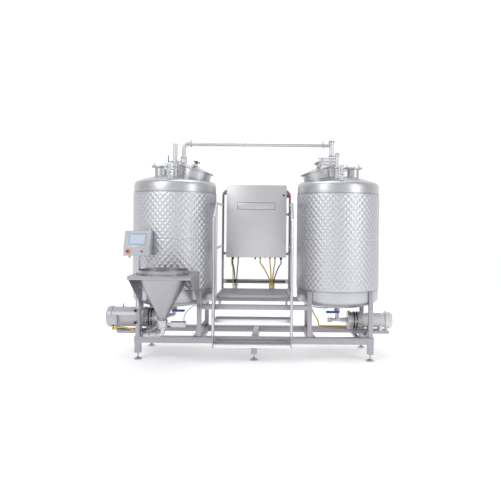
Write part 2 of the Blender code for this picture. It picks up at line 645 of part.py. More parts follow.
# ------------------------------------------------- control cabinet and platform
def build_cabinet():
    """Bent-tube frame, steel box, hinged door, lock, main switch and stop button."""
    left = STAIR_X - CABINET_POST_OFFSET
    right = STAIR_X + CABINET_POST_OFFSET
    base = BEAM_TOP + GAP
    high = CABINET_POST_TOP - RAIL_TUBE_RADIUS
    corners = [(left, POST_Y, base), (left, POST_Y, high), (right, POST_Y, high), (right, POST_Y, base)]
    solids = [tube(bent_path(corners, 0.09, 3), RAIL_TUBE_RADIUS, 8)]
    for side_x in (left, right):
        solids.append(block((side_x - 0.022, RAIL_Y - 0.026, BEAM_TOP + GAP),
                            (side_x + 0.022, POST_Y + 0.02, BEAM_TOP + 0.008)))
    for low, high in ((0.868, 0.926), (1.265, 1.300), (2.100, 2.135)):
        solids.append(block((left, POST_Y - 0.012, low), (right, POST_Y + 0.012, high)))
    for z in (1.282, 2.117):
        for x in (-0.30, 0.30):
            solids.append(block((x - 0.02, CABINET_BACK + GAP, z - 0.014), (x + 0.02, POST_Y, z + 0.014)))
    piece("cabinet_frame", solids, "satin_steel")

    x0 = CABINET_X - CABINET_WIDTH / 2
    x1 = CABINET_X + CABINET_WIDTH / 2
    face = CABINET_FRONT + DOOR_THICKNESS + GAP
    box = block((x0, face, CABINET_BOTTOM), (x1, CABINET_BACK, CABINET_TOP))
    wall = 0.006
    inside = block((x0 + wall, face - 0.1, CABINET_BOTTOM + wall),
                   (x1 - wall, CABINET_BACK - wall, CABINET_TOP - wall))
    solids = [box]
    for offset, radius, length in GLANDS:
        solids.append(rod(radius, CABINET_BOTTOM - length, CABINET_BOTTOM + 0.004, 8,
                          (CABINET_X + offset, GLAND_Y, 0)))
    switch_bore = rod(running_bore(0.011), -0.02, 0.02, 8, (x1, SWITCH_Y, SWITCH_Z), "X")
    stop_bore = rod(0.0113, -0.02, 0.02, 8, (x1, SWITCH_Y, STOP_Z), "X")
    piece("cabinet_box", solids, "cabinet_steel", [inside, switch_bore, stop_bore])

    hinge = (x0, CABINET_FRONT + DOOR_THICKNESS, 0)
    door = block((x0, CABINET_FRONT, CABINET_BOTTOM), (x1, CABINET_FRONT + DOOR_THICKNESS, CABINET_TOP))
    hollow = block((x0 + 0.02, CABINET_FRONT + SHEET, CABINET_BOTTOM + 0.02),
                   (x1 - 0.02, CABINET_FRONT + 0.1, CABINET_TOP - 0.02))
    lock_x = x1 - 0.037
    lock_bore = rod(running_bore(0.008), -0.01, 0.01, 8, (lock_x, CABINET_FRONT, LOCK_Z), "Y")
    piece("cabinet_door", [door], "cabinet_steel", [hollow, lock_bore], pivot=(hinge[0], hinge[1], 1.7335))
    lock = [rod(0.011, -0.006, -GAP, 8, (lock_x, CABINET_FRONT, LOCK_Z), "Y"),
            rod(0.008, -0.004, 0.014, 8, (lock_x, CABINET_FRONT, LOCK_Z), "Y")]
    lock.append(block((lock_x - 0.007, CABINET_FRONT + 0.010, LOCK_Z - 0.045),
                      (lock_x + 0.007, CABINET_FRONT + 0.014, LOCK_Z + 0.006)))
    piece("door_lock", lock, "black_plastic", pivot=(lock_x, CABINET_FRONT, LOCK_Z))

    switch = [rod(0.011, -0.015, 0.02, 8, (x1, SWITCH_Y, SWITCH_Z), "X"),
              rod(0.022, GAP, 0.014, 10, (x1, SWITCH_Y, SWITCH_Z), "X"),
              block((x1 + 0.012, SWITCH_Y - 0.007, SWITCH_Z - 0.024), (x1 + 0.036, SWITCH_Y + 0.007, SWITCH_Z + 0.024))]
    piece("main_switch", switch, "red_plastic", pivot=(x1, SWITCH_Y, SWITCH_Z))
    stop = [rod(0.011, -0.015, 0.026, 8, (x1, SWITCH_Y, STOP_Z), "X"),
            rod(0.020, 0.022, 0.036, 10, (x1, SWITCH_Y, STOP_Z), "X")]
    piece("cabinet_stop_button", stop, "red_plastic", pivot=(x1, SWITCH_Y, STOP_Z))


def build_platform():
    """Platform frame with its stair stringers, the grating and two open treads."""
    half = PLATFORM_WIDTH / 2
    x0 = STAIR_X - half
    x1 = STAIR_X + half
    lip = 0.037
    solids = [block((x0, PLATFORM_FRONT, PLATFORM_TOP - lip), (x1, PLATFORM_FRONT + 0.025, PLATFORM_TOP)),
              block((x0, 0.385, PLATFORM_TOP - lip), (x1, 0.41, PLATFORM_TOP))]
    for x in (x0, x1 - 0.025):
        solids.append(block((x, PLATFORM_FRONT + 0.01, PLATFORM_TOP - lip + 0.001),
                            (x + 0.025, 0.40, PLATFORM_TOP + 0.012)))
    for y in (-0.10, 0.15):
        solids.append(block((x0 + 0.01, y - 0.012, PLATFORM_TOP - lip + 0.002),
                            (x1 - 0.01, y + 0.012, PLATFORM_TOP - 0.022)))
    for x in (x0 + 0.046, x1 - 0.046):
        solids.append(block((x - 0.015, 0.372, BEAM_TOP + GAP), (x + 0.015, 0.405, PLATFORM_TOP - 0.03)))
        solids.append(block((x - 0.015, -0.400, BEAM_TOP + GAP), (x + 0.015, -0.360, BEAM_TOP + 0.05)))
        solids.append(block((x - 0.012, -0.395, BEAM_TOP + 0.030), (x + 0.012, -0.28, BEAM_TOP + 0.055)))
        solids.append(block((x - 0.012, -0.300, BEAM_TOP + 0.035), (x + 0.012, -0.270, PLATFORM_TOP - 0.02)))
    for side in (-1, 1):
        x = STAIR_X + side * STRINGER_OFFSET
        outline = [(PLATFORM_FRONT + 0.06, PLATFORM_TOP - 0.005), (PLATFORM_FRONT - 0.050, PLATFORM_TOP - 0.005),
                   (-0.455, 0.660), (STAIR_RAIL_Y + 0.022, STRINGER_FOOT), (SECOND_TREAD_FRONT - 0.010, STRINGER_FOOT),
                   (SECOND_TREAD_FRONT - 0.010, 0.195),
                   (SECOND_TREAD_FRONT + 0.10, 0.195), (-RAIL_Y - 0.033, 0.570), (-RAIL_Y - 0.033, 0.700),
                   (PLATFORM_FRONT + 0.06, PLATFORM_TOP - 0.085)]
        solids.append(prism(outline, x - STRINGER_WIDTH / 2, x + STRINGER_WIDTH / 2))
        solids.append(block((min(x, x - side * 0.02), PLATFORM_FRONT - 0.002, PLATFORM_TOP - 0.033),
                            (max(x, x - side * 0.02), PLATFORM_FRONT + 0.05, PLATFORM_TOP - 0.006)))
    piece("platform_frame", solids, "satin_steel")

    gap = 0.0255
    grating = block((x0 + gap, PLATFORM_FRONT + gap, PLATFORM_TOP - 0.021),
                    (x1 - gap, 0.3845, PLATFORM_TOP - 0.001))
    piece("platform_grating", [grating], "grating_steel")
    reach = STRINGER_OFFSET - STRINGER_WIDTH / 2 - GAP
    for number, front in ((1, FIRST_TREAD_FRONT), (2, SECOND_TREAD_FRONT)):
        top = PLATFORM_TOP - number * STEP_RISE
        outline = [(front, top), (front, top - TREAD_LIP), (front + 0.004, top - TREAD_LIP),
                   (front + 0.004, top - 0.030), (front + TREAD_DEPTH, top - 0.030),
                   (front + TREAD_DEPTH, top)]
        name = {1: "stair_tread_upper", 2: "stair_tread_lower"}[number]
        piece(name, [prism(outline, STAIR_X - reach, STAIR_X + reach)], "grating_steel")


def build_handrails():
    """Each rail: top and middle tubes from the cabinet frame, posts and a stair rail."""
    for side, hand in ((-1, "left"), (1, "right")):
        x = STAIR_X + side * STRINGER_OFFSET
        rear = POST_Y - RAIL_TUBE_RADIUS - 0.001
        top = [(x, rear, HANDRAIL_TOP), (x, HANDRAIL_FRONT_Y + 0.02, HANDRAIL_TOP),
               (x, STAIR_RAIL_Y, HANDRAIL_TOP - 0.185), (x, STAIR_RAIL_Y, STRINGER_FOOT + GAP)]
        solids = [tube(bent_path(top, 0.06, 2), RAIL_TUBE_RADIUS, 8)]
        solids.append(tube([(x, HANDRAIL_FRONT_Y, HANDRAIL_TOP - 0.008), (x, HANDRAIL_FRONT_Y, PLATFORM_TOP - 0.0047)],
                           RAIL_TUBE_RADIUS - 0.001, 8))
        solids.append(tube([(x, rear, HANDRAIL_MIDDLE), (x, HANDRAIL_FRONT_Y, HANDRAIL_MIDDLE)],
                           RAIL_TUBE_RADIUS - 0.002, 8))
        piece(f"handrail_{hand}", solids, "polished_steel")


# ------------------------------------------------------ hopper and mixing line
def build_hopper():
    """Round hopper, the table that carries it, and its pneumatic outlet valve."""
    wall = 0.003
    slope = (HOPPER_RADIUS - HOPPER_OUTLET_RADIUS) / (HOPPER_RIM_BOTTOM - HOPPER_OUTLET_Z)
    outline = [(HOPPER_OUTLET_RADIUS, HOPPER_OUTLET_Z - 0.022), (HOPPER_OUTLET_RADIUS + 0.010, HOPPER_OUTLET_Z - 0.022),
               (HOPPER_OUTLET_RADIUS + 0.010, HOPPER_OUTLET_Z - 0.014),
               (HOPPER_OUTLET_RADIUS + wall, HOPPER_OUTLET_Z - 0.010), (HOPPER_OUTLET_RADIUS + wall, HOPPER_OUTLET_Z),
               (HOPPER_RADIUS, HOPPER_RIM_BOTTOM - wall * slope), (HOPPER_RADIUS, HOPPER_RIM_TOP - 0.008),
               (HOPPER_RADIUS + 0.006, HOPPER_RIM_TOP - 0.006), (HOPPER_RADIUS + 0.006, HOPPER_RIM_TOP),
               (HOPPER_RADIUS - wall, HOPPER_RIM_TOP), (HOPPER_RADIUS - wall, HOPPER_RIM_BOTTOM),
               (HOPPER_OUTLET_RADIUS, HOPPER_OUTLET_Z)]
    hopper = turned(outline, HOPPER_SIDES, (HOPPER_X, HOPPER_Y, 0))
    seat = ring_outline(HOPPER_RADIUS - 0.002, HOPPER_RADIUS + 0.022, TABLE_TOP + GAP, TABLE_TOP + 0.006)
    collar = turned(seat, HOPPER_SIDES, (HOPPER_X, HOPPER_Y, 0))
    piece("hopper", [hopper, collar], "satin_steel")

    low = TABLE_TOP - TABLE_BAR
    back = TABLE_ARM_END
    leg_face = -RAIL_Y - LEG_SIZE / 2 - GAP
    solids = [block((TABLE_LEFT, TABLE_FRONT, low), (TABLE_RIGHT, TABLE_FRONT + TABLE_BAR, TABLE_TOP))]
    arm_tops = TABLE_TOP - 0.001
    for x in (TABLE_LEFT + 0.001, TABLE_RIGHT - 0.041):
        solids.append(block((x, TABLE_FRONT + 0.01, low + 0.001), (x + 0.040, back, arm_tops)))
    solids.append(block((TABLE_LEFT + 0.01, -0.575, low + 0.002), (TABLE_RIGHT - 0.01, -0.545, TABLE_TOP - 0.002)))
    solids.append(block((TABLE_LEFT + 0.005, TABLE_FRONT + 0.005, TABLE_TOP - 0.006),
                        (TABLE_RIGHT - 0.005, -0.550, TABLE_TOP - 0.0005)))
    for x in (TABLE_LEFT + 0.002, TABLE_RIGHT - 0.007):
        outline = [(TABLE_FRONT + 0.02, low + 0.01), (back, low + 0.01), (back, 0.74),
                   (leg_face, BEAM_TOP), (leg_face, 0.625), (leg_face - 0.030, 0.625)]
        solids.append(prism(outline, x, x + 0.005))
    for x0, x1 in ((-CORNER_X - 0.02, TABLE_LEFT + 0.005), (-LEG_INNER_X - 0.02, TABLE_RIGHT - 0.004)):
        solids.append(block((x0, leg_face - 0.006, 0.61), (x1, leg_face, BEAM_TOP - 0.002)))
    bore = rod(HOPPER_RADIUS + GAP, low - 0.02, TABLE_TOP + 0.02, HOPPER_SIDES, (HOPPER_X, HOPPER_Y, 0))
    piece("hopper_table", solids, "satin_steel", [bore])

    top = HOPPER_OUTLET_Z - 0.022 - GAP
    low = top - VALVE_HEIGHT
    middle = (top + low) / 2
    place = (HOPPER_X, HOPPER_Y, middle)
    inner = HOPPER_OUTLET_RADIUS - 0.001
    body = [turned(ring_outline(inner, inner + 0.014, low, top), 14, (HOPPER_X, HOPPER_Y, 0))]
    body.append(rod(0.017, inner + 0.004, ACTUATOR_START + 0.004, 8, place, "X"))
    body.append(rod(0.0365, ACTUATOR_START, ACTUATOR_START + 0.174, 10, place, "X"))
    body.append(rod(0.0385, ACTUATOR_START + 0.160, ACTUATOR_START + 0.171, 10, place, "X"))
    stem_bore = rod(running_bore(STEM_RADIUS), inner - 0.01, 0.11, 8, place, "X")
    piece("hopper_valve_body", body, "polished_steel", [stem_bore])
    disc = [rod(inner - 0.0006, -0.003, 0.003, 14, place)]
    disc.append(rod(STEM_RADIUS, 0, 0.092, 8, place, "X"))
    piece("hopper_valve_disc", disc, "polished_steel", pivot=place)

    start = Vector((HOPPER_X, HOPPER_Y, low - GAP))
    route = [start, start + Vector((0, 0, -0.075)), (-1.30, -0.640, 0.352), (-1.345, -0.520, 0.352),
             (-1.250, LEFT_PUMP_Y - 0.165, 0.400), (-1.250, LEFT_PUMP_Y - 0.128, 0.418)]
    solids = [tube(bent_path(route, 0.045, 2), 0.0265, 8)]
    solids.append(rod(HOPPER_OUTLET_RADIUS + 0.010, -0.010, 0, 10, start))
    along = (Vector(route[2]) - Vector(route[1])).normalized()
    turn = Vector((0, 0, 1)).rotation_difference(along).to_matrix().to_4x4()
    for share in (0.30, 0.72):
        ring = rod(0.038, -0.008, 0.008, 10)
        spot = Vector(route[1]).lerp(Vector(route[2]), share)
        ring.data.transform(Matrix.Translation(spot) @ turn)
        solids.append(ring)
    piece("mixing_pipe", solids, "polished_steel")


# ------------------------------------------------------------ pumps and outlets
def build_pump(side, hand):
    """Pump casing, flanged motor with cowl, and the shaft with its impeller."""
    if side < 0:
        y, z, end = LEFT_PUMP_Y, LEFT_PUMP_Z, LEFT_MOTOR_END
        head_start, head_end, head_radius = -1.235, -1.395, 0.112
        motor_radius, cowl_radius, cowl_length, bar_top = 0.126, 0.136, 0.075, LEFT_PUMP_Z - 0.16
    else:
        y, z, end = RIGHT_PUMP_Y, RIGHT_PUMP_Z, RIGHT_MOTOR_END
        head_start, head_end, head_radius = 1.206, 1.392, 0.105
        motor_radius, cowl_radius, cowl_length, bar_top = 0.088, 0.110, 0.095, RIGHT_PUMP_Z - 0.125
    outward = math.copysign(1, end)
    place = (0, y, z)

    def bar(radius, start, stop, sides=14):
        return rod(radius, min(start, stop), max(start, stop), sides, place, "X")

    flange = head_start + outward * 0.034
    casing = [bar(head_radius + 0.018, head_start, flange, 16),
              bar(head_radius, flange - outward * 0.004, head_end, 14),
              bar(head_radius + 0.014, head_end - outward * 0.026, head_end, 14)]
    casing.append(bar(INLET_RADIUS + 0.004, head_start - outward * 0.020, head_start + outward * 0.01, 10))
    chamber = bar(head_radius - 0.022, head_start + outward * 0.010, head_start + outward * 0.075, 14)
    shaft_bore = bar(0.0153, head_start + outward * 0.05, head_end + outward * 0.05, 8)
    inlet = bar(INLET_RADIUS - 0.002, head_start - outward * 0.05, head_start + outward * 0.03, 10)
    piece(f"pump_casing_{hand}", casing, "motor_steel", [chamber, shaft_bore, inlet])

    start = head_end + outward * GAP
    cowl = end - outward * cowl_length
    motor = [bar(motor_radius, start, cowl + outward * 0.02, 16)]
    dome = [(0, 0), (cowl_radius, 0), (cowl_radius, cowl_length - 0.030),
            (cowl_radius - 0.012, cowl_length - 0.010), (cowl_radius - 0.035, cowl_length), (0, cowl_length)]
    if side < 0:
        dome = [(radius, -height) for radius, height in dome]
    motor.append(turned(dome, 16, (cowl, y, z), "X"))
    if side < 0:
        motor.append(block((-1.826, y - motor_radius - 0.045, z - 0.075), (-1.740, y - 0.06, z + 0.040)))
    else:
        motor.append(block((1.56, y + 0.03, z - 0.045), (1.66, y + motor_radius + 0.050, z + 0.045)))
    for spot in (start + outward * 0.10, cowl - outward * 0.06):
        motor.append(block((spot - 0.018, y - 0.085, bar_top + GAP), (spot + 0.018, y + 0.085, z - 0.05)))
    lift_x = -1.70 if side < 0 else 1.705
    eye = bent_path([(lift_x, y - 0.014, z + motor_radius - 0.015), (lift_x, y - 0.014, z + motor_radius + 0.040),
                     (lift_x, y + 0.014, z + motor_radius + 0.040), (lift_x, y + 0.014, z + motor_radius - 0.015)],
                    0.012, 1)
    motor.append(tube(eye, 0.006, 6))
    end_bore = bar(0.0153, start - outward * 0.02, start + outward * 0.10, 8)
    piece(f"pump_motor_{hand}", motor, "motor_steel", [end_bore])

    shaft = [bar(0.014, head_start + outward * 0.016, start + outward * 0.095, 8)]
    for blade in range(3):
        vane = block((head_start + outward * 0.042 - 0.020, -0.004, -head_radius + 0.030),
                     (head_start + outward * 0.042 + 0.020, 0.004, head_radius - 0.030))
        vane.data.transform(Matrix.Translation((0, y, z)) @ Matrix.Rotation(math.pi * blade / 3, 4, "X"))
        shaft.append(vane)
    piece(f"pump_shaft_{hand}", shaft, "polished_steel", pivot=(head_start + outward * 0.04, y, z))


def build_suction_line(side, hand):
    """Butterfly valve under the tank, the elbow to the pump, and the blue lever."""
    x = side * TANK_X
    top = OUTLET_BOTTOM - GAP
    low = top - OUTLET_VALVE_HEIGHT
    if side < 0:
        pump_x, y, z = -1.215, LEFT_PUMP_Y, LEFT_PUMP_Z
    else:
        pump_x, y, z = 1.186, RIGHT_PUMP_Y, RIGHT_PUMP_Z
    middle = (x, 0, (top + low) / 2)
    inner = OUTLET_RADIUS - 0.002
    solids = [turned(ring_outline(inner, inner + 0.016, low, top), 14, (x, 0, 0))]
    solids.append(rod(0.012, inner + 0.002, 0.062, 8, middle, "Y"))
    solids[-1].data.transform(Matrix.Translation(middle) @ Matrix.Rotation(math.pi, 4, "Z")
                              @ Matrix.Translation(-Vector(middle)))
    corners = [(x, 0, low + 0.002), (x, 0, z), (pump_x - side * 0.002, y, z)]
    bend = 0.045
    if side < 0:
        turn_x = x - 0.072
        corners = [(x, 0, low + 0.002), (x, 0, z), (turn_x, 0, z), (turn_x, y, z), (pump_x + 0.002, y, z)]
        bend = 0.033
    solids.append(tube(bent_path(corners, bend, 3), OUTLET_RADIUS, 8))
    ring_x = pump_x - side * GAP
    for offset in (0, 0.030):
        middle_x = ring_x - side * (offset + 0.004)
        solids.append(rod(OUTLET_RADIUS + 0.012, -0.004, 0.004, 10, (middle_x, y, z), "X"))
    if side > 0:
        solids.append(rod(0.021, -0.117, 0.007, 10, (x, 0, z), "X"))
        solids.append(rod(0.034, -0.075, -0.067, 10, (x, 0, z), "X"))
        solids.append(rod(0.026, -0.031, 0.029, 8, (x - 0.0975, 0, z)))
    passage = rod(inner, low - 0.006, top + 0.01, 10, (x, 0, 0))
    stem_bore = rod(running_bore(STEM_RADIUS), -0.09, -inner + 0.01, 8, middle, "Y")
    piece(f"suction_line_{hand}", solids, "polished_steel", [passage, stem_bore])
    disc = [rod(inner - 0.0006, -0.0025, 0.0025, 10, middle)]
    disc.append(rod(STEM_RADIUS, -0.080, 0, 8, middle, "Y"))
    z_mid = middle[2]
    near, far = sorted((x - side * 0.150, x + side * 0.016))
    disc.append(block((near, -0.090, z_mid - 0.012), (far, -0.074, z_mid + 0.012)))
    piece(f"outlet_lever_{hand}", disc, "blue_plastic", pivot=middle)


# --------------------------------------------------------------- operator panel
def build_operator_panel():
    """Height-adjustable mast, desk-shaped panel, stop button and push button."""
    top = HMI_BOTTOM - GAP
    mast = [rod(MAST_RADIUS, SOCKET_BOTTOM + 0.13, top, 10, (MAST_X, MAST_Y, 0)),
            rod(0.040, top - 0.008, top, 10, (MAST_X, MAST_Y, 0))]
    piece("panel_mast", mast, "polished_steel", pivot=(MAST_X, MAST_Y, SOCKET_TOP))
    left = HMI_X - HMI_WIDTH / 2
    right = HMI_X + HMI_WIDTH / 2
    rear = MAST_Y + 0.032
    face = rear - HMI_DEPTH
    side_view = [(face, HMI_BOTTOM), (rear, HMI_BOTTOM), (rear, HMI_TOP), (rear - 0.065, HMI_TOP),
                 (face, HMI_BOTTOM + 0.110)]
    bores = [rod(0.0083, -0.02, 0.03, 8, (x, face, PANEL_BUTTON_Z), "Y") for x in (PANEL_STOP_X, PANEL_BUTTON_X)]
    gland = rod(0.012, HMI_BOTTOM - 0.030, HMI_BOTTOM + 0.004, 8, (left + 0.045, MAST_Y, 0))
    piece("panel_box", [prism(side_view, left, right), gland], "cabinet_steel", bores,
          pivot=(MAST_X, MAST_Y, HMI_BOTTOM))
    stop = [rod(0.008, -0.014, 0.016, 8, (PANEL_STOP_X, face, PANEL_BUTTON_Z), "Y"),
            rod(0.019, -0.030, -0.012, 10, (PANEL_STOP_X, face, PANEL_BUTTON_Z), "Y")]
    piece("panel_stop_button", stop, "red_plastic", pivot=(PANEL_STOP_X, face, PANEL_BUTTON_Z))
    button = [rod(0.008, -0.006, 0.016, 8, (PANEL_BUTTON_X, face, PANEL_BUTTON_Z), "Y"),
              rod(0.012, -0.012, -0.0055, 10, (PANEL_BUTTON_X, face, PANEL_BUTTON_Z), "Y")]
    piece("panel_push_button", button, "red_plastic", pivot=(PANEL_BUTTON_X, face, PANEL_BUTTON_Z))


# ----------------------------------------------------------------------- cables
def build_cable_looms():
    """Cables held at both ends: cabinet glands to the duct under the platform."""
    for hand, finish, rows in (("left", "cable_black", LEFT_LOOM), ("right", "cable_yellow", RIGHT_LOOM)):
        tie = LOOM_TIE[hand]
        solids = []
        for offset, length, radius, shift in rows:
            x = CABINET_X + offset
            start = CABINET_BOTTOM - length - GAP
            top = Vector((x, GLAND_Y, start))
            route = [(x, GLAND_Y, start - 0.02), (x, GLAND_Y, start - 0.05), (x * 0.65 + tie * 0.35, 0.30, 1.08),
                     (tie + shift, 0.400, 0.92), (tie + shift, 0.424, 0.84), (tie + shift, 0.424, 0.745)]
            solids.append(tube([top] + smooth_path(route, 2), radius, 6))
        solids.append(block((tie - 0.036, 0.4165, 0.775), (tie + 0.040, 0.4235, 0.790)))
        piece(f"cable_loom_{hand}", solids, finish)


def main():
    clear_scene()
    origin = bpy.data.objects.new("plant_origin", None)
    origin.location = (-ORIGIN_X, -ORIGIN_Y, 0)
    bpy.context.scene.collection.objects.link(origin)
    build_skid()
    build_feet()
    for side, hand in ((-1, "left"), (1, "right")):
        build_tank(side, hand)
        build_jacket(side, hand)
        build_manway(side, hand)
        build_blind_flange(side, hand)
        build_dome_valve(side, hand)
        build_pump(side, hand)
        build_suction_line(side, hand)
    build_top_valves()
    build_crossover()
    build_cabinet()
    build_platform()
    build_handrails()
    build_hopper()
    build_operator_panel()
    build_cable_looms()


main()
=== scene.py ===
import bpy
import bmesh
import json
import math
from mathutils import Matrix, Vector

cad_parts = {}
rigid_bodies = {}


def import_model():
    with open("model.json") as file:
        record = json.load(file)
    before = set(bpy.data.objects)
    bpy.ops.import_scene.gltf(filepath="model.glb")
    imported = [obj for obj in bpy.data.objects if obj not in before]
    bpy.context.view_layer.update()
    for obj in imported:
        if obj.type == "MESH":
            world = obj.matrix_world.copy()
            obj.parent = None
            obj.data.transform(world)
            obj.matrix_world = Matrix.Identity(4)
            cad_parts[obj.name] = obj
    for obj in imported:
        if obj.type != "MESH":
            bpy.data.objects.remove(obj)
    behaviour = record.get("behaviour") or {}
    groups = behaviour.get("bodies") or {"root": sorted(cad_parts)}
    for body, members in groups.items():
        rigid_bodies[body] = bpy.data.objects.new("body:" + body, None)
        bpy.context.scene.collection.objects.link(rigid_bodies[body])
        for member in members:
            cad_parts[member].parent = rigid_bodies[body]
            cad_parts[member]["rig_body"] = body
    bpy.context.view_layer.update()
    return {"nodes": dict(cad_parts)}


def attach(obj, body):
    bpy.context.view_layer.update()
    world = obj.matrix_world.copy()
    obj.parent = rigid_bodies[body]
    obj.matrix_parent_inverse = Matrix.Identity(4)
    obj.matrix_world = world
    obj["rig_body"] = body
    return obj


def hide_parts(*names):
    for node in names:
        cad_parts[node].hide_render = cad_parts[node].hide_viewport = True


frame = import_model()

# Lengths below are in metres from the middle of the plant; this shift puts them in the shared frame.
SHIFT = Vector((0.055, 0.316, 0.0))

SAME_PLACE = 1e-6        # a radius under this is a point on the axis
SHARP_TURN = 0.45        # profile corners over this angle, in radians, stay crisp
STRAIGHT = 0.02          # path corners under this half angle, in radians, get no bend
SHARED_RUN = 0.48        # part of a run that the bend at each of its ends may use


# ------------------------------------------------------------------ materials
def surface(name, colour, metal, rough, grain=(6.0, 6.0, 6.0), spread=0.06, bump=0.02, coat=0.0):
    """A procedural finish: a base colour with grain in the colour, the roughness and the height."""
    made = bpy.data.materials.new(name)
    made.use_nodes = True
    nodes = made.node_tree.nodes
    links = made.node_tree.links
    shader = nodes["Principled BSDF"]
    place = nodes.new("ShaderNodeTexCoord")
    stretch = nodes.new("ShaderNodeMapping")
    stretch.inputs["Scale"].default_value = grain
    noise = nodes.new("ShaderNodeTexNoise")
    noise.inputs["Scale"].default_value = 9.0
    noise.inputs["Detail"].default_value = 6.0
    links.new(place.outputs["Object"], stretch.inputs["Vector"])
    links.new(stretch.outputs["Vector"], noise.inputs["Vector"])
    tint = nodes.new("ShaderNodeValToRGB")
    dark = [max(0.0, c * (1.0 - spread)) for c in colour]
    light = [min(1.0, c * (1.0 + spread)) for c in colour]
    tint.color_ramp.elements[0].position = 0.3
    tint.color_ramp.elements[0].color = (*dark, 1.0)
    tint.color_ramp.elements[1].position = 0.7
    tint.color_ramp.elements[1].color = (*light, 1.0)
    links.new(noise.outputs["Fac"], tint.inputs["Fac"])
    links.new(tint.outputs["Color"], shader.inputs["Base Color"])
    shine = nodes.new("ShaderNodeMapRange")
    shine.inputs["To Min"].default_value = max(0.02, rough - 0.08)
    shine.inputs["To Max"].default_value = min(1.0, rough + 0.08)
    links.new(noise.outputs["Fac"], shine.inputs["Value"])
    links.new(shine.outputs["Result"], shader.inputs["Roughness"])
    relief = nodes.new("ShaderNodeBump")
    relief.inputs["Strength"].default_value = bump
    relief.inputs["Distance"].default_value = 0.002
    links.new(noise.outputs["Fac"], relief.inputs["Height"])
    links.new(relief.outputs["Normal"], shader.inputs["Normal"])
    shader.inputs["Metallic"].default_value = metal
    shader.inputs["Coat Weight"].default_value = coat
    return made


TANK = surface("satin tank steel", (0.56, 0.565, 0.585), 1.0, 0.36, (1.5, 1.5, 14.0), 0.03, 0.002)
JACKET = surface("pillow jacket steel", (0.60, 0.605, 0.63), 1.0, 0.42, (6.0, 6.0, 6.0), 0.03, 0.002)
BAND = surface("brushed band steel", (0.40, 0.41, 0.43), 1.0, 0.4, (1.5, 1.5, 30.0), 0.05, 0.004)
FRAME = surface("frame steel", (0.43, 0.42, 0.445), 1.0, 0.42, (3.0, 3.0, 3.0), 0.06, 0.006)
PIPE = surface("bright pipe steel", (0.62, 0.62, 0.63), 1.0, 0.32, (4.0, 4.0, 20.0), 0.03, 0.0)
CAST = surface("cast fitting steel", (0.60, 0.60, 0.61), 1.0, 0.38, (9.0, 9.0, 9.0), 0.06, 0.004)
CABINET = surface("brushed cabinet steel", (0.59, 0.58, 0.585), 0.9, 0.42, (1.0, 2.0, 22.0), 0.03, 0.003)
GRATE = surface("galvanised grating", (0.60, 0.59, 0.61), 0.9, 0.45, (12.0, 12.0, 12.0), 0.12, 0.04)
LIP = surface("bright tread lip", (0.86, 0.85, 0.88), 0.9, 0.34, (8.0, 3.0, 3.0), 0.05, 0.02)
MOTOR = surface("motor grey paint", (0.50, 0.50, 0.53), 0.35, 0.40, (12.0, 12.0, 12.0), 0.05, 0.05, 0.2)
MOTOR_PALE = surface("motor pale paint", (0.68, 0.68, 0.69), 0.35, 0.38, (12.0, 12.0, 12.0), 0.05, 0.05, 0.2)
HOPPER = surface("hopper steel", (0.42, 0.415, 0.44), 1.0, 0.34, (5.0, 5.0, 16.0), 0.04, 0.003)
# Black moulded plastic of knobs, grips and glands; the same black is also used as painted shade inside the
# fan cover holes.
BLACK_PLASTIC_AND_SHADE = surface("black moulded plastic and painted hole shade", (0.018, 0.018, 0.020), 0.0, 0.42, (30.0, 30.0, 30.0), 0.25, 0.06)
RUBBER = surface("black rubber", (0.025, 0.025, 0.026), 0.0, 0.62, (40.0, 40.0, 40.0), 0.25, 0.08)
# Dark zinc of the bolts and nuts; the same dark is also used as painted shade in the cable duct slot and in
# the pump guard gaps.
DARK_ZINC_AND_SHADE = surface("dark zinc and painted shade", (0.06, 0.06, 0.065), 0.7, 0.38, (20.0, 20.0, 20.0), 0.15, 0.04)
WHITE = surface("white end cap", (0.80, 0.80, 0.79), 0.0, 0.45, (20.0, 20.0, 20.0), 0.04, 0.03)
BLUE = surface("blue grip", (0.022, 0.085, 0.42), 0.0, 0.36, (25.0, 25.0, 25.0), 0.12, 0.04, 0.3)
RED = surface("red button", (0.52, 0.015, 0.015), 0.0, 0.32, (25.0, 25.0, 25.0), 0.08, 0.03, 0.3)
YELLOW = surface("yellow plate", (0.75, 0.50, 0.03), 0.0, 0.40, (25.0, 25.0, 25.0), 0.06, 0.03)
BEZEL = surface("panel bezel", (0.50, 0.51, 0.54), 0.15, 0.38, (15.0, 15.0, 15.0), 0.04, 0.03, 0.2)
SCREEN = surface("screen glass", (0.28, 0.36, 0.46), 0.0, 0.10, (2.0, 2.0, 2.0), 0.05, 0.0, 0.8)
SCREEN_FRAME = surface("screen surround", (0.26, 0.32, 0.42), 0.1, 0.30, (10.0, 10.0, 10.0), 0.05, 0.02)
PLATE = surface("blank plate", (0.58, 0.58, 0.60), 0.7, 0.36, (2.0, 2.0, 2.0), 0.012, 0.0)
CORD_BLACK = surface("black cable", (0.022, 0.022, 0.024), 0.0, 0.50, (20.0, 20.0, 60.0), 0.20, 0.05)
CORD_GREY = surface("grey cable", (0.25, 0.25, 0.26), 0.0, 0.50, (20.0, 20.0, 60.0), 0.10, 0.05)
CORD_YELLOW = surface("yellow cable", (0.72, 0.50, 0.012), 0.0, 0.48, (20.0, 20.0, 60.0), 0.10, 0.05)
CORD_BLUE = surface("blue cable", (0.03, 0.09, 0.38), 0.0, 0.48, (20.0, 20.0, 60.0), 0.10, 0.05)


# ------------------------------------------------------------------- geometry
def axis_turn(axis):
    """Turns a shape made along Z so that it lies along X, Y or Z."""
    if axis == "X":
        return Matrix.Rotation(math.pi / 2, 4, "Y")
    if axis == "Y":
        return Matrix.Rotation(-math.pi / 2, 4, "X")
    return Matrix.Identity(4)


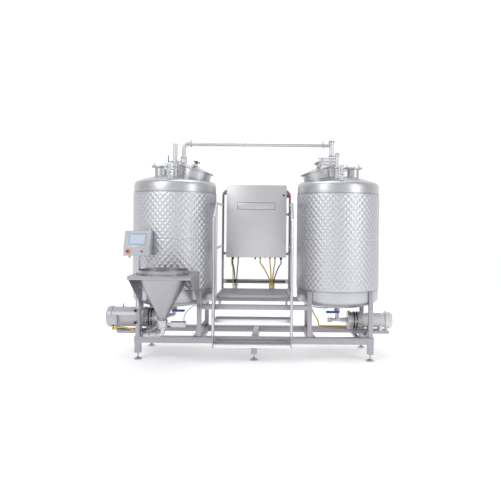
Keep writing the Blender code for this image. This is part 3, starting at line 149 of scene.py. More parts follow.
def lathe(profile, sides=48, centre=(0, 0, 0), axis="Z", sharp=True):
    """A profile of (radius, height) pairs turned round an axis; sharp keeps each corner crisp."""
    made = bmesh.new()
    turn = Matrix.Translation(centre) @ axis_turn(axis)
    rings = []
    spots = []
    for i, (radius, height) in enumerate(profile):
        inner = 0 < i < len(profile) - 1
        spots.append((radius, height))
        if sharp and inner and radius > SAME_PLACE:
            before = Vector(profile[i]) - Vector(profile[i - 1])
            after = Vector(profile[i + 1]) - Vector(profile[i])
            if before.length > 1e-9 and after.length > 1e-9 and before.angle(after) > SHARP_TURN:
                spots.append((radius, height))
    for radius, height in spots:
        if radius < SAME_PLACE:
            rings.append([made.verts.new(turn @ Vector((0, 0, height)))])
            continue
        ring = []
        for k in range(sides):
            a = 2 * math.pi * k / sides
            ring.append(made.verts.new(turn @ Vector((radius * math.cos(a), radius * math.sin(a), height))))
        rings.append(ring)
    for i in range(len(rings) - 1):
        if spots[i] == spots[i + 1]:
            continue
        a, b = rings[i], rings[i + 1]
        for k in range(sides):
            n = (k + 1) % sides
            if len(a) == 1 and len(b) == 1:
                continue
            if len(a) == 1:
                made.faces.new((a[0], b[n], b[k]))
            elif len(b) == 1:
                made.faces.new((a[k], a[n], b[0]))
            else:
                made.faces.new((a[k], a[n], b[n], b[k]))
    return made


def disc(radius, low, high, sides=32, centre=(0, 0, 0), axis="Z", edge=0.0015):
    """A round bar or disc with a small rounded edge at both ends."""
    e = min(edge, radius * 0.4, (high - low) * 0.4)
    profile = [(0, low), (radius - e, low), (radius, low + e),
               (radius, high - e), (radius - e, high), (0, high)]
    return lathe(profile, sides, centre, axis)


def box(low, high, edge=0.002, steps=2):
    """A block with rounded edges."""
    made = bmesh.new()
    size = Vector(high) - Vector(low)
    middle = (Vector(high) + Vector(low)) / 2
    bmesh.ops.create_cube(made, size=1.0, matrix=Matrix.Translation(middle) @ Matrix.Diagonal((*size, 1.0)))
    e = min(edge, min(size) * 0.45)
    if e > 0:
        bmesh.ops.bevel(made, geom=made.edges[:], offset=e, segments=steps, affect="EDGES", profile=0.5)
    return made


def plate(outline, low, high, axis="X", edge=0.001):
    """A flat shape given by its outline, pushed out from low to high along an axis."""
    made = bmesh.new()
    ends = []
    for level in (low, high):
        ring = []
        for a, b in outline:
            spot = {"X": (level, a, b), "Y": (a, level, b), "Z": (a, b, level)}[axis]
            ring.append(made.verts.new(spot))
        ends.append(ring)
    count = len(outline)
    made.faces.new(ends[0])
    made.faces.new(ends[1])
    for k in range(count):
        n = (k + 1) % count
        made.faces.new((ends[0][k], ends[0][n], ends[1][n], ends[1][k]))
    bmesh.ops.recalc_face_normals(made, faces=made.faces[:])
    if edge > 0:
        bmesh.ops.bevel(made, geom=made.edges[:], offset=edge, segments=1, affect="EDGES")
    return made


def rounded_path(corners, radius, steps=8):
    """Straight runs joined by round bends."""
    spots = [Vector(c) for c in corners]
    path = [spots[0]]
    for i in range(1, len(spots) - 1):
        here = spots[i]
        back = (spots[i - 1] - here).normalized()
        ahead = (spots[i + 1] - here).normalized()
        half = back.angle(ahead) / 2
        if half > math.pi / 2 - STRAIGHT:
            path.append(here)
            continue
        reach = radius / math.tan(half)
        if i > 1:
            reach = min(reach, (spots[i - 1] - here).length * SHARED_RUN)
        if i < len(spots) - 2:
            reach = min(reach, (spots[i + 1] - here).length * SHARED_RUN)
        bend = reach * math.tan(half)
        hub = here + (back + ahead).normalized() * (bend / math.sin(half))
        start = here + back * reach - hub
        end = here + ahead * reach - hub
        for k in range(steps + 1):
            t = k / steps
            turned = start.normalized().slerp(end.normalized(), t) * bend
            path.append(hub + turned)
    path.append(spots[-1])
    return path


def smooth(knots, steps=8):
    """A soft curve through every knot."""
    spots = [Vector(k) for k in knots]
    spots = [spots[0] * 2 - spots[1]] + spots + [spots[-1] * 2 - spots[-2]]
    path = []
    for i in range(1, len(spots) - 2):
        a, b, c, d = spots[i - 1:i + 3]
        for k in range(steps):
            t = k / steps
            path.append(0.5 * (2 * b + (c - a) * t + (2 * a - 5 * b + 4 * c - d) * t * t
                               + (3 * b - 3 * c + d - a) * t ** 3))
    path.append(spots[-2])
    return path


def tube(path, radius, sides=20):
    """A round bar along a path with closed ends."""
    made = bmesh.new()
    spots = []
    for p in path:
        p = Vector(p)
        if not spots or (p - spots[-1]).length > 1e-5:
            spots.append(p)
    along = (spots[1] - spots[0]).normalized()
    out = along.orthogonal().normalized()
    rings = []
    for i, spot in enumerate(spots):
        ahead = (spots[min(i + 1, len(spots) - 1)] - spots[max(i - 1, 0)]).normalized()
        out = along.rotation_difference(ahead) @ out
        out = (out - ahead * out.dot(ahead)).normalized()
        along = ahead
        side = ahead.cross(out)
        ring = []
        for k in range(sides):
            a = 2 * math.pi * k / sides
            ring.append(made.verts.new(spot + (out * math.cos(a) + side * math.sin(a)) * radius))
        rings.append(ring)
    for a, b in zip(rings, rings[1:]):
        for k in range(sides):
            n = (k + 1) % sides
            made.faces.new((a[k], a[n], b[n], b[k]))
    made.faces.new(rings[0][::-1])
    made.faces.new(rings[-1])
    return made


def moved(shape, matrix):
    """The same shape after a move or a turn."""
    bmesh.ops.transform(shape, matrix=matrix, verts=shape.verts[:])
    return shape


def pointing(spot, direction):
    """The move that puts a shape made along Z at a spot, pointing a given way."""
    turn = Vector((0, 0, 1)).rotation_difference(Vector(direction).normalized())
    return Matrix.Translation(spot) @ turn.to_matrix().to_4x4()


def spots_around(number, radius, turn=0.0):
    """Evenly spaced spots on a circle, as pairs, the first one turned on by a share of a step."""
    spots = []
    for k in range(number):
        a = 2 * math.pi * (k + turn) / number
        spots.append((radius * math.cos(a), radius * math.sin(a)))
    return spots


def ring_shape(radius, thick, centre, axis="Z", sides=40, round_sides=12):
    """A round ring of round bar."""
    profile = []
    for k in range(round_sides + 1):
        a = 2 * math.pi * k / round_sides
        profile.append((radius + thick * math.cos(a), thick * math.sin(a)))
    return lathe(profile, sides, centre, axis, sharp=False)


def piece(name, shapes, finish, body="plant", nodes=(), smooth_angle=40.0):
    """Joins shapes into one named object with a finish, and ties it to its body and CAD nodes."""
    name = name.replace(" ", "_")
    joined = bpy.data.meshes.new(name)
    total = bmesh.new()
    for shape in shapes:
        held = bpy.data.meshes.new("held")
        shape.to_mesh(held)
        shape.free()
        total.from_mesh(held)
        bpy.data.meshes.remove(held)
    bmesh.ops.transform(total, matrix=Matrix.Translation(SHIFT), verts=total.verts[:])
    bmesh.ops.recalc_face_normals(total, faces=total.faces[:])
    limit = math.radians(smooth_angle)
    for face in total.faces:
        face.smooth = True
    for edge in total.edges:
        if len(edge.link_faces) == 2 and edge.calc_face_angle(0.0) > limit:
            edge.smooth = False
    total.to_mesh(joined)
    total.free()
    made = bpy.data.objects.new(name, joined)
    bpy.context.scene.collection.objects.link(made)
    joined.materials.append(finish)
    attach(made, body)
    if nodes:
        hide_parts(*nodes)
    return made


# Finish and slot of the CAD nodes, by the start of the name. The longest start that fits counts.
LOOKS = {
    "blind_flange": (CAST, "frame_steel"),
    "cabinet_box": (CABINET, "cabinet_steel"),
    "cabinet_door": (CABINET, "cabinet_steel"),
    "cabinet_frame": (FRAME, "frame_steel"),
    "cabinet_stop_button": (RED, "red_plastic"),
    "cable_loom": (CORD_BLACK, "cable_black"),
    "crossover_pipe": (PIPE, "pipe_steel"),
    "dome_valve": (CAST, "pipe_steel"),
    "door_lock": (BLACK_PLASTIC_AND_SHADE, "black_plastic"),
    "handrail": (PIPE, "pipe_steel"),
    "hopper": (HOPPER, "tank_steel"),
    "hopper_table": (FRAME, "frame_steel"),
    "hopper_valve": (CAST, "pipe_steel"),
    "levelling_foot": (CAST, "frame_steel"),
    "main_switch": (RED, "red_plastic"),
    "manway": (CAST, "pipe_steel"),
    "manway_knob": (CAST, "black_plastic"),
    "mixing_pipe": (PIPE, "pipe_steel"),
    "outlet_lever": (BLUE, "blue_plastic"),
    "panel_box": (BEZEL, "cabinet_steel"),
    "panel_mast": (PIPE, "pipe_steel"),
    "panel_push_button": (RED, "red_plastic"),
    "panel_stop_button": (RED, "red_plastic"),
    "platform_frame": (FRAME, "frame_steel"),
    "platform_grating": (GRATE, "grating_steel"),
    "pump_casing": (CAST, "motor_steel"),
    "pump_motor": (MOTOR, "motor_steel"),
    "pump_motor_right": (MOTOR_PALE, "motor_steel"),
    "pump_shaft": (PIPE, "pipe_steel"),
    "riser": (PIPE, "pipe_steel"),
    "skid_frame": (FRAME, "frame_steel"),
    "stair_tread": (GRATE, "grating_steel"),
    "suction_line": (PIPE, "pipe_steel"),
    "tank_jacket": (JACKET, "jacket_steel"),
    "tank_vessel": (TANK, "tank_steel"),
    "vent_lever": (BLUE, "blue_plastic"),
    "vent_valve": (CAST, "pipe_steel"),
}


def look_of(node_name):
    """The finish and the slot of a CAD node."""
    start = max((key for key in LOOKS if node_name.startswith(key)), key=len)
    return LOOKS[start]


# Every CAD node takes its finish, and its body is kept for the piece that stands for it.
NODE_BODY = {}
for node_name, node in frame["nodes"].items():
    node.data.materials.clear()
    node.data.materials.append(look_of(node_name)[0])
    NODE_BODY[node_name] = node["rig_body"]


# ------------------------------------------------- sizes shared with the model
GAP = 0.0003                     # clearance between pieces that touch
TANK_X = 1.07                    # tank centre from the middle of the skid
SHELL_BOTTOM = 0.75              # straight shell starts
SHELL_TOP = 2.185                # straight shell ends
OUTLET_RADIUS = 0.026            # tank outlet and suction line
OUTLET_BOTTOM = 0.585
MANWAY_TILT = math.radians(16)
MANWAY_OFFSET = 0.247            # lid centre from the tank axis, towards the middle
MANWAY_TOP = 2.405               # height of the rim centre
MANWAY_SIDES = 16

BLIND_OFFSET = 0.195             # small nozzle from the tank axis, away from the middle
BLIND_RADIUS = 0.078
BLIND_TOP = 2.436

GRIP_REACH = 0.034               # lobes of the manway's star grip from its spindle
HINGE_BACK = 0.300               # manway hinge line behind the rim's middle
HINGE_RISE = 0.030
HINGE_EAR = 0.030
PIN_RADIUS = 0.006

DOME_VALVE_Y = -0.455
DOME_STUB_RADIUS = 0.019
DOME_STUB_TOP = 2.330
TOP_VALVE_SHIFT = 0.050
TOP_VALVE_Y = -0.310
TOP_STUB_TOP = 2.420

PIPE_RADIUS = 0.029              # risers and crossover pipe
CROSSOVER_Z = 2.795
RISER_X = {-1: -1.029, 1: 1.015}
RISER_Y = 0.380
LEFT_CLAMP_X = -0.928
RIGHT_CLAMP_X = 0.900

RAIL_SIZE = 0.080
RAIL_TOP = 0.290
RAIL_Y = 0.381
SKID_HALF_LENGTH = 1.492
POST_SIZE = 0.074
POST_BOTTOM = 0.085
CORNER_X = 1.451
LEG_SIZE = 0.056
LEG_INNER_X = 0.690
LEG_TOP = 0.862
BEAM_SIZE = 0.060
BEAM_TOP = 0.690

FOOT_RADIUS = 0.0525

STAIR_X = -0.018                 # middle of the platform and the stairs
PLATFORM_WIDTH = 0.925
PLATFORM_TOP = 0.800
PLATFORM_FRONT = -0.290
STEP_RISE = 0.2745
TREAD_DEPTH = 0.165
TREAD_LIP = 0.052
FIRST_TREAD_FRONT = -0.435
SECOND_TREAD_FRONT = -0.605
STRINGER_OFFSET = 0.476
STRINGER_WIDTH = 0.012
STRINGER_FOOT = 0.340            # where the stair rail stands on the stringer

RAIL_TUBE_RADIUS = 0.017
HANDRAIL_TOP = 1.957
HANDRAIL_MIDDLE = 1.388
HANDRAIL_FRONT_Y = -0.325
STAIR_RAIL_Y = -0.600

POST_Y = 0.440
CABINET_POST_OFFSET = 0.4645
CABINET_POST_TOP = 2.187
CABINET_WIDTH = 0.800
CABINET_X = -0.004
CABINET_BOTTOM = 1.250
CABINET_TOP = 2.217
CABINET_FRONT = 0.100
CABINET_BACK = 0.400
DOOR_THICKNESS = 0.020
GLAND_Y = 0.220
# Glands under the cabinet: place from its middle, radius and length
GLANDS = ((-0.322, 0.020, 0.034), (-0.247, 0.014, 0.016), (-0.017, 0.012, 0.032), (0.051, 0.014, 0.022),
          (0.118, 0.010, 0.016), (0.183, 0.014, 0.022), (0.250, 0.014, 0.022), (0.332, 0.020, 0.034))
LOOM_TIE = {"left": -0.295, "right": 0.205}
SWITCH_Y = 0.200
SWITCH_Z = 2.078
STOP_Z = 1.830
LOCK_Z = 2.083

HOPPER_X = -1.044
HOPPER_Y = -0.862
HOPPER_RADIUS = 0.285
HOPPER_RIM_TOP = 1.162
HOPPER_RIM_BOTTOM = 1.058
HOPPER_OUTLET_RADIUS = 0.038
HOPPER_OUTLET_Z = 0.588
HOPPER_SIDES = 20
TABLE_LEFT = -1.385
TABLE_RIGHT = -0.676
TABLE_FRONT = -1.170
TABLE_BAR = 0.043
TABLE_TOP = 1.112
TABLE_ARM_END = -0.480

MAST_X = -1.411
MAST_Y = -0.545
MAST_RADIUS = 0.019
SOCKET_RADIUS = 0.030
SOCKET_BOTTOM = 0.318
SOCKET_TOP = 0.655
HMI_X = -1.411
HMI_WIDTH = 0.317
HMI_BOTTOM = 1.305
HMI_TOP = 1.603
HMI_DEPTH = 0.145

VALVE_HEIGHT = 0.078
OUTLET_VALVE_HEIGHT = 0.050
ACTUATOR_START = 0.0933          # hopper valve actuator from the hopper's axis
STEM_RADIUS = 0.005
INLET_RADIUS = 0.028
PANEL_STOP_X = -1.516
PANEL_BUTTON_X = -1.349
PANEL_BUTTON_Z = 1.360

# Left and right pump: shaft place, ends of the pump head, radii and lengths
PUMP_Y = {-1: -0.150, 1: 0.0}
PUMP_Z = {-1: 0.490, 1: 0.446}
HEAD_START = {-1: -1.235, 1: 1.206}
HEAD_END = {-1: -1.395, 1: 1.392}
HEAD_RADIUS = {-1: 0.112, 1: 0.105}
MOTOR_RADIUS = {-1: 0.126, 1: 0.088}
MOTOR_END = {-1: -1.900, 1: 1.790}
COWL_RADIUS = {-1: 0.136, 1: 0.110}
COWL_LENGTH = {-1: 0.075, 1: 0.095}
MOTOR_BAR_DROP = {-1: 0.16, 1: 0.125}   # carrying bars below the shaft
LIFTING_EYE_X = {-1: -1.70, 1: 1.705}
SUCTION_END_X = {-1: -1.215, 1: 1.186}
GUARD_START = {-1: -1.300, 1: 1.272}    # first bright ring on the pump head
GUARD_PITCH = 0.034

HANDS = ((-1, "left"), (1, "right"))

def rod(radius, low, high, sides=16, centre=(0, 0, 0), axis="Z"):
    """A plain round bar from low to high along its axis."""
    return disc(radius, low, high, 12 + sides * 3, centre, axis)


def turned(outline, sides, centre=(0, 0, 0), axis="Z"):
    """An outline of (radius, height) pairs turned round an axis and closed."""
    closed = list(outline)
    if outline[0][0] > 0:
        closed.append(outline[0])
    return lathe(closed, sides * 4, centre, axis)


def rim_matrix(side):
    """Puts a shape made round the manway's own axis on the tilted rim."""
    spot = (side * (TANK_X - MANWAY_OFFSET), 0, MANWAY_TOP)
    return Matrix.Translation(spot) @ Matrix.Rotation(-side * MANWAY_TILT, 4, "Y")


def on_rim(side, shape):
    """Moves a shape onto the tilted manway rim."""
    return moved(shape, rim_matrix(side))


def show(node, shapes):
    """Shows one CAD node as its own finely made piece."""
    finish, slot = look_of(node)
    piece("seen_" + node, shapes, finish, NODE_BODY[node], (node,))


def ring_outline(inner, outer, low, high):
    """Outline of a plain ring between two radii and two heights."""
    return [(inner, low), (outer, low), (outer, high), (inner, high)]


# ------------------------------------------------------------------- the frame
def build_skid():
    """Rails, posts, tank legs and beams, welded into one frame."""
    low_z = RAIL_TOP - RAIL_SIZE
    half = RAIL_SIZE / 2
    solids = []
    for y in (-RAIL_Y, RAIL_Y):
        solids.append(box((-SKID_HALF_LENGTH, y - half, low_z), (SKID_HALF_LENGTH, y + half, RAIL_TOP)))
        for x in (-CORNER_X, 0, CORNER_X):
            size = POST_SIZE / 2
            solids.append(box((x - size, y - size, POST_BOTTOM), (x + size, y + size, RAIL_TOP - 0.01)))
        solids.append(box((-LEG_INNER_X, y - 0.027, BEAM_TOP - BEAM_SIZE),
                            (LEG_INNER_X, y + 0.027, BEAM_TOP)))
    for x in (-CORNER_X, -LEG_INNER_X, 0, LEG_INNER_X, CORNER_X):
        width = half - 0.003
        solids.append(box((x - width, -RAIL_Y, low_z + 0.002), (x + width, RAIL_Y, RAIL_TOP - 0.002)))
    for x in (-CORNER_X, -LEG_INNER_X, LEG_INNER_X, CORNER_X):
        for y in (-RAIL_Y, RAIL_Y):
            size = LEG_SIZE / 2
            solids.append(box((x - size, y - size, RAIL_TOP - 0.02), (x + size, y + size, LEG_TOP)))
            inward = -math.copysign(1, x) if abs(x) > 1 else math.copysign(1, x)
            foot = [(x, RAIL_TOP - 0.01), (x + inward * 0.09, RAIL_TOP - 0.01), (x, RAIL_TOP + 0.11)]
            solids.append(plate(foot, y - 0.004, y + 0.004, axis="Y"))
    for x in (-LEG_INNER_X, LEG_INNER_X):
        solids.append(box((x - 0.024, -RAIL_Y, BEAM_TOP - 0.055), (x + 0.024, RAIL_Y, BEAM_TOP - 0.003)))
    solids.append(rod(SOCKET_RADIUS, SOCKET_BOTTOM, SOCKET_TOP, 10, (MAST_X, MAST_Y, 0)))
    for z in (0.585, 0.36):
        solids.append(box((MAST_X - 0.032, MAST_Y, z - 0.012), (MAST_X - 0.014, -RAIL_Y, z + 0.012)))
    left_bar = PUMP_Z[-1] - MOTOR_BAR_DROP[-1]
    solids.append(box((-1.76, PUMP_Y[-1] - 0.09, left_bar - 0.04), (-1.235, PUMP_Y[-1] - 0.05, left_bar)))
    solids.append(box((-1.76, PUMP_Y[-1] + 0.05, left_bar - 0.04), (-1.235, PUMP_Y[-1] + 0.09, left_bar)))
    right_bar = PUMP_Z[1] - MOTOR_BAR_DROP[1]
    for side in (-1, 1):
        y = PUMP_Y[1] + side * 0.065
        solids.append(box((1.26, y - 0.018, right_bar - 0.038), (1.745, y + 0.018, right_bar)))
    for x, y, top in ((-CORNER_X, PUMP_Y[-1], left_bar - 0.01), (-1.26, PUMP_Y[-1], left_bar - 0.01),
                      (CORNER_X, PUMP_Y[1], right_bar - 0.01), (1.30, PUMP_Y[1], right_bar - 0.01)):
        solids.append(box((x - 0.02, y - 0.11, RAIL_TOP - 0.012), (x + 0.02, y + 0.11, top)))
    for x in (-1.26, 1.30):
        solids.append(box((x - 0.021, -RAIL_Y, RAIL_TOP - 0.05), (x + 0.021, RAIL_Y, RAIL_TOP - 0.006)))
    show("skid_frame", solids)


def build_feet():
    """Six levelling feet: a steel pad, a stem and the jam nut that locks it."""
    names = {-RAIL_Y: "front", RAIL_Y: "rear"}
    for y, row in names.items():
        for x, column in ((-CORNER_X, "left"), (0.0, "middle"), (CORNER_X, "right")):
            outline = [(0, 0), (FOOT_RADIUS, 0), (FOOT_RADIUS, 0.010), (0.016, 0.031),
                       (0.010, 0.036), (0.010, POST_BOTTOM + 0.060), (0, POST_BOTTOM + 0.060)]
            nut = rod(0.017, POST_BOTTOM - 0.016, POST_BOTTOM - GAP, 6, (x, y, 0))
            show(f"levelling_foot_{row}_{column}", [turned(outline, 8, (x, y, 0)), nut])


# -------------------------------------------------------- fittings on the tanks
def build_manway(side, hand):
    """Lid, yoke and hand knob.  Lid and yoke swing on the rear hinge."""
    lid = [(0, 0.042), (0.012, 0.042), (0.13, 0.032), (0.236, 0.006), (0.262, 0.005),
           (0.262, GAP), (0.226, GAP), (0.13, 0.024), (0, 0.035)]
    show(f"manway_lid_{hand}", [on_rim(side, turned(lid, MANWAY_SIDES))])
    bar = [(-0.285, 0.040), (-0.270, 0.062), (HINGE_BACK - 0.035, 0.062), (HINGE_BACK, HINGE_RISE + 0.012),
           (HINGE_BACK + 0.012, HINGE_RISE), (HINGE_BACK, HINGE_RISE - 0.012),
           (HINGE_BACK - 0.024, HINGE_RISE - 0.004), (HINGE_BACK - 0.050, 0.0478), (-0.262, 0.0478),
           (-0.270, 0.036), (-0.270, -0.030), (-0.285, -0.030)]
    yoke = [on_rim(side, plate(bar, -0.016, 0.016))]
    yoke.append(on_rim(side, rod(0.022, 0.0426, 0.080, 8)))
    yoke.append(on_rim(side, rod(PIN_RADIUS, -0.044, 0.044, 8, (0, HINGE_BACK, HINGE_RISE), "X")))
    show(f"manway_yoke_{hand}", yoke)
    knob = [on_rim(side, rod(0.0080, 0.0430, 0.115, 8))]
    knob.append(on_rim(side, rod(0.020, 0.0805, 0.118, 8)))
    for arm in range(3):
        bar_solid = rod(0.008, -0.046, 0.046, 6, (0, 0, 0.104), "X")
        moved(bar_solid, Matrix.Rotation(math.pi * arm / 3, 4, "Z"))
        knob.append(on_rim(side, bar_solid))
    show(f"manway_knob_{hand}", knob)


def build_blind_flange(side, hand):
    """The bolted cover on the small nozzle, with its three fittings."""
    x = side * (TANK_X + BLIND_OFFSET)
    solids = [rod(BLIND_RADIUS + 0.044, BLIND_TOP + GAP, BLIND_TOP + 0.012, 16, (x, 0, 0))]
    for turn in (200, 320, 20):
        angle = math.radians(turn)
        spot = (x + 0.085 * math.cos(angle), 0.085 * math.sin(angle), 0)
        solids.append(rod(0.007, BLIND_TOP + 0.008, BLIND_TOP + 0.055, 6, spot))
    show(f"blind_flange_{hand}", solids)


def build_dome_valve(side, hand):
    """Air vent valve on the front of the dome: body, clamp and a short spout."""
    x = side * TANK_X
    low = DOME_STUB_TOP + GAP
    y = DOME_VALVE_Y
    solids = [rod(0.030, low, low + 0.012, 10, (x, y, 0)), rod(0.020, low + 0.010, low + 0.105, 8, (x, y, 0))]
    solids.append(turned([(0, low + 0.020), (0.022, low + 0.028), (0.031, low + 0.045), (0.022, low + 0.062),
                          (0, low + 0.070)], 10, (x, y, 0)))
    solids.append(rod(0.016, -0.058, 0.058, 8, (x, y, low + 0.045), "X"))
    solids.append(rod(0.028, low + 0.095, low + 0.107, 10, (x, y, 0)))
    show(f"dome_valve_{hand}", solids)


def build_top_valves():
    """Left: upright pneumatic cylinder and a lever.  Right: a lying actuator."""
    low = TOP_STUB_TOP + GAP
    x = -TANK_X + TOP_VALVE_SHIFT
    y = TOP_VALVE_Y
    solids = [rod(0.036, low, low + 0.014, 10, (x, y, 0)), rod(0.024, low + 0.01, low + 0.13, 8, (x, y, 0))]
    solids.append(turned([(0, low + 0.02), (0.030, low + 0.03), (0.038, low + 0.055), (0.030, low + 0.08),
                          (0, low + 0.09)], 10, (x, y, 0)))
    solids.append(rod(0.027, low + 0.12, 2.705, 10, (x, y, 0)))
    solids.append(rod(0.018, 0, 0.070, 8, (x, y, low + 0.055), "X"))
    solids.append(rod(0.014, -0.055, 0, 8, (x, y, low + 0.055), "X"))
    show("vent_valve_left", solids)
    lever = [rod(STEM_RADIUS, -0.085, -0.035, 8, (x, y, low + 0.055), "X")]
    lever.append(box((x - 0.092, y - 0.010, low + 0.045), (x - 0.082, y + 0.010, low + 0.135)))
    show("vent_lever_left", lever)
    x = TANK_X - TOP_VALVE_SHIFT
    solids = [rod(0.036, low, low + 0.014, 10, (x, y, 0)), rod(0.022, low + 0.01, low + 0.150, 8, (x, y, 0))]
    solids.append(turned([(0, low + 0.125), (0.022, low + 0.132), (0.033, low + 0.158), (0.022, low + 0.184),
                          (0, low + 0.192)], 10, (x, y, 0)))
    for z, reach in ((low + 0.115, -0.235), (low + 0.075, -0.235), (low + 0.038, -0.245)):
        solids.append(rod(0.013, reach, 0.0, 8, (x, y, z), "X"))
    solids.append(box((x - 0.205, y - 0.016, low + 0.030), (x - 0.165, y + 0.016, low + 0.122)))
    show("vent_valve_right", solids)


def build_crossover():
    """Risers on both tanks and the pipe between them, clamped together."""
    low = TOP_STUB_TOP + GAP
    x = RISER_X[-1]
    corner = [(x, RISER_Y, low + 0.005), (x, RISER_Y, CROSSOVER_Z),
              (LEFT_CLAMP_X - GAP, RISER_Y, CROSSOVER_Z)]
    solids = [tube(rounded_path(corner, 0.075), PIPE_RADIUS, 8)]
    for z in (low, 2.510, 2.600):
        solids.append(rod(PIPE_RADIUS + 0.011, z, z + 0.014, 10, (x, RISER_Y, 0)))
    solids.append(rod(0.044, 2.535, 2.590, 10, (x, RISER_Y, 0)))
    solids.append(rod(0.016, -0.095, 0, 8, (x, RISER_Y, 2.560), "X"))
    solids.append(rod(PIPE_RADIUS + 0.011, LEFT_CLAMP_X - 0.012 - x, LEFT_CLAMP_X - GAP - x, 10,
                      (x, RISER_Y, CROSSOVER_Z), "X"))
    show("riser_left", solids)
    length = RIGHT_CLAMP_X - LEFT_CLAMP_X
    place = (LEFT_CLAMP_X, RISER_Y, CROSSOVER_Z)
    solids = [rod(PIPE_RADIUS, 0, length, 8, place, "X")]
    for start in (0, length - 0.012):
        solids.append(rod(PIPE_RADIUS + 0.011, start, start + 0.012, 10, place, "X"))
    show("crossover_pipe", solids)
    x = RISER_X[1]
    solids = [rod(PIPE_RADIUS, low, CROSSOVER_Z + 0.060, 8, (x, RISER_Y, 0))]
    reach = RIGHT_CLAMP_X + GAP - x
    solids.append(rod(PIPE_RADIUS, reach, 0, 8, (x, RISER_Y, CROSSOVER_Z), "X"))
    solids.append(rod(PIPE_RADIUS + 0.011, reach, reach + 0.012, 10, (x, RISER_Y, CROSSOVER_Z), "X"))
    for z in (low, 2.635, CROSSOVER_Z + 0.050):
        solids.append(rod(PIPE_RADIUS + 0.011, z, z + 0.014, 10, (x, RISER_Y, 0)))
    show("riser_right", solids)


# ------------------------------------------------- control cabinet and platform
def build_cabinet():
    """Bent-tube frame, steel box, hinged door, lock, main switch and stop button."""
    left = STAIR_X - CABINET_POST_OFFSET
    right = STAIR_X + CABINET_POST_OFFSET
    base = BEAM_TOP + GAP
    high = CABINET_POST_TOP - RAIL_TUBE_RADIUS
    corners = [(left, POST_Y, base), (left, POST_Y, high), (right, POST_Y, high), (right, POST_Y, base)]
    solids = [tube(rounded_path(corners, 0.09), RAIL_TUBE_RADIUS, 8)]
    for side_x in (left, right):
        solids.append(box((side_x - 0.022, RAIL_Y - 0.026, BEAM_TOP + GAP),
                            (side_x + 0.022, POST_Y + 0.02, BEAM_TOP + 0.008)))
    for low, high in ((0.868, 0.926), (1.265, 1.300), (2.100, 2.135)):
        solids.append(box((left, POST_Y - 0.012, low), (right, POST_Y + 0.012, high)))
    for z in (1.282, 2.117):
        for x in (-0.30, 0.30):
            solids.append(box((x - 0.02, CABINET_BACK + GAP, z - 0.014), (x + 0.02, POST_Y, z + 0.014)))
    show("cabinet_frame", solids)

    x0 = CABINET_X - CABINET_WIDTH / 2
    x1 = CABINET_X + CABINET_WIDTH / 2
    face = CABINET_FRONT + DOOR_THICKNESS + GAP
    wall = 0.006
    inner_low, inner_high = CABINET_BOTTOM + wall, CABINET_TOP - wall
    solids = [box((x0, CABINET_BACK - wall, CABINET_BOTTOM), (x1, CABINET_BACK, CABINET_TOP)),
              box((x0, face, CABINET_BOTTOM), (x0 + wall, CABINET_BACK - 0.001, CABINET_TOP)),
              box((x1 - wall, face, CABINET_BOTTOM), (x1, CABINET_BACK - 0.001, CABINET_TOP)),
              box((x0 + 0.001, face, CABINET_BOTTOM), (x1 - 0.001, CABINET_BACK - 0.001, inner_low)),
              box((x0 + 0.001, face, inner_high), (x1 - 0.001, CABINET_BACK - 0.001, CABINET_TOP))]
    show("cabinet_box", solids)

    door = box((x0, CABINET_FRONT, CABINET_BOTTOM), (x1, CABINET_FRONT + DOOR_THICKNESS, CABINET_TOP))
    lock_x = x1 - 0.037
    show("cabinet_door", [door])
    lock = [rod(0.011, -0.006, -GAP, 8, (lock_x, CABINET_FRONT, LOCK_Z), "Y"),
            rod(0.008, -0.004, 0.014, 8, (lock_x, CABINET_FRONT, LOCK_Z), "Y")]
    lock.append(box((lock_x - 0.007, CABINET_FRONT + 0.010, LOCK_Z - 0.045),
                      (lock_x + 0.007, CABINET_FRONT + 0.014, LOCK_Z + 0.006)))
    show("door_lock", lock)

    switch = [rod(0.011, -0.015, 0.02, 8, (x1, SWITCH_Y, SWITCH_Z), "X"),
              rod(0.022, GAP, 0.014, 10, (x1, SWITCH_Y, SWITCH_Z), "X"),
              box((x1 + 0.012, SWITCH_Y - 0.007, SWITCH_Z - 0.024),
                  (x1 + 0.036, SWITCH_Y + 0.007, SWITCH_Z + 0.024))]
    show("main_switch", switch)
    stop = [rod(0.011, -0.015, 0.026, 8, (x1, SWITCH_Y, STOP_Z), "X"),
            rod(0.020, 0.022, 0.036, 10, (x1, SWITCH_Y, STOP_Z), "X")]
    show("cabinet_stop_button", stop)


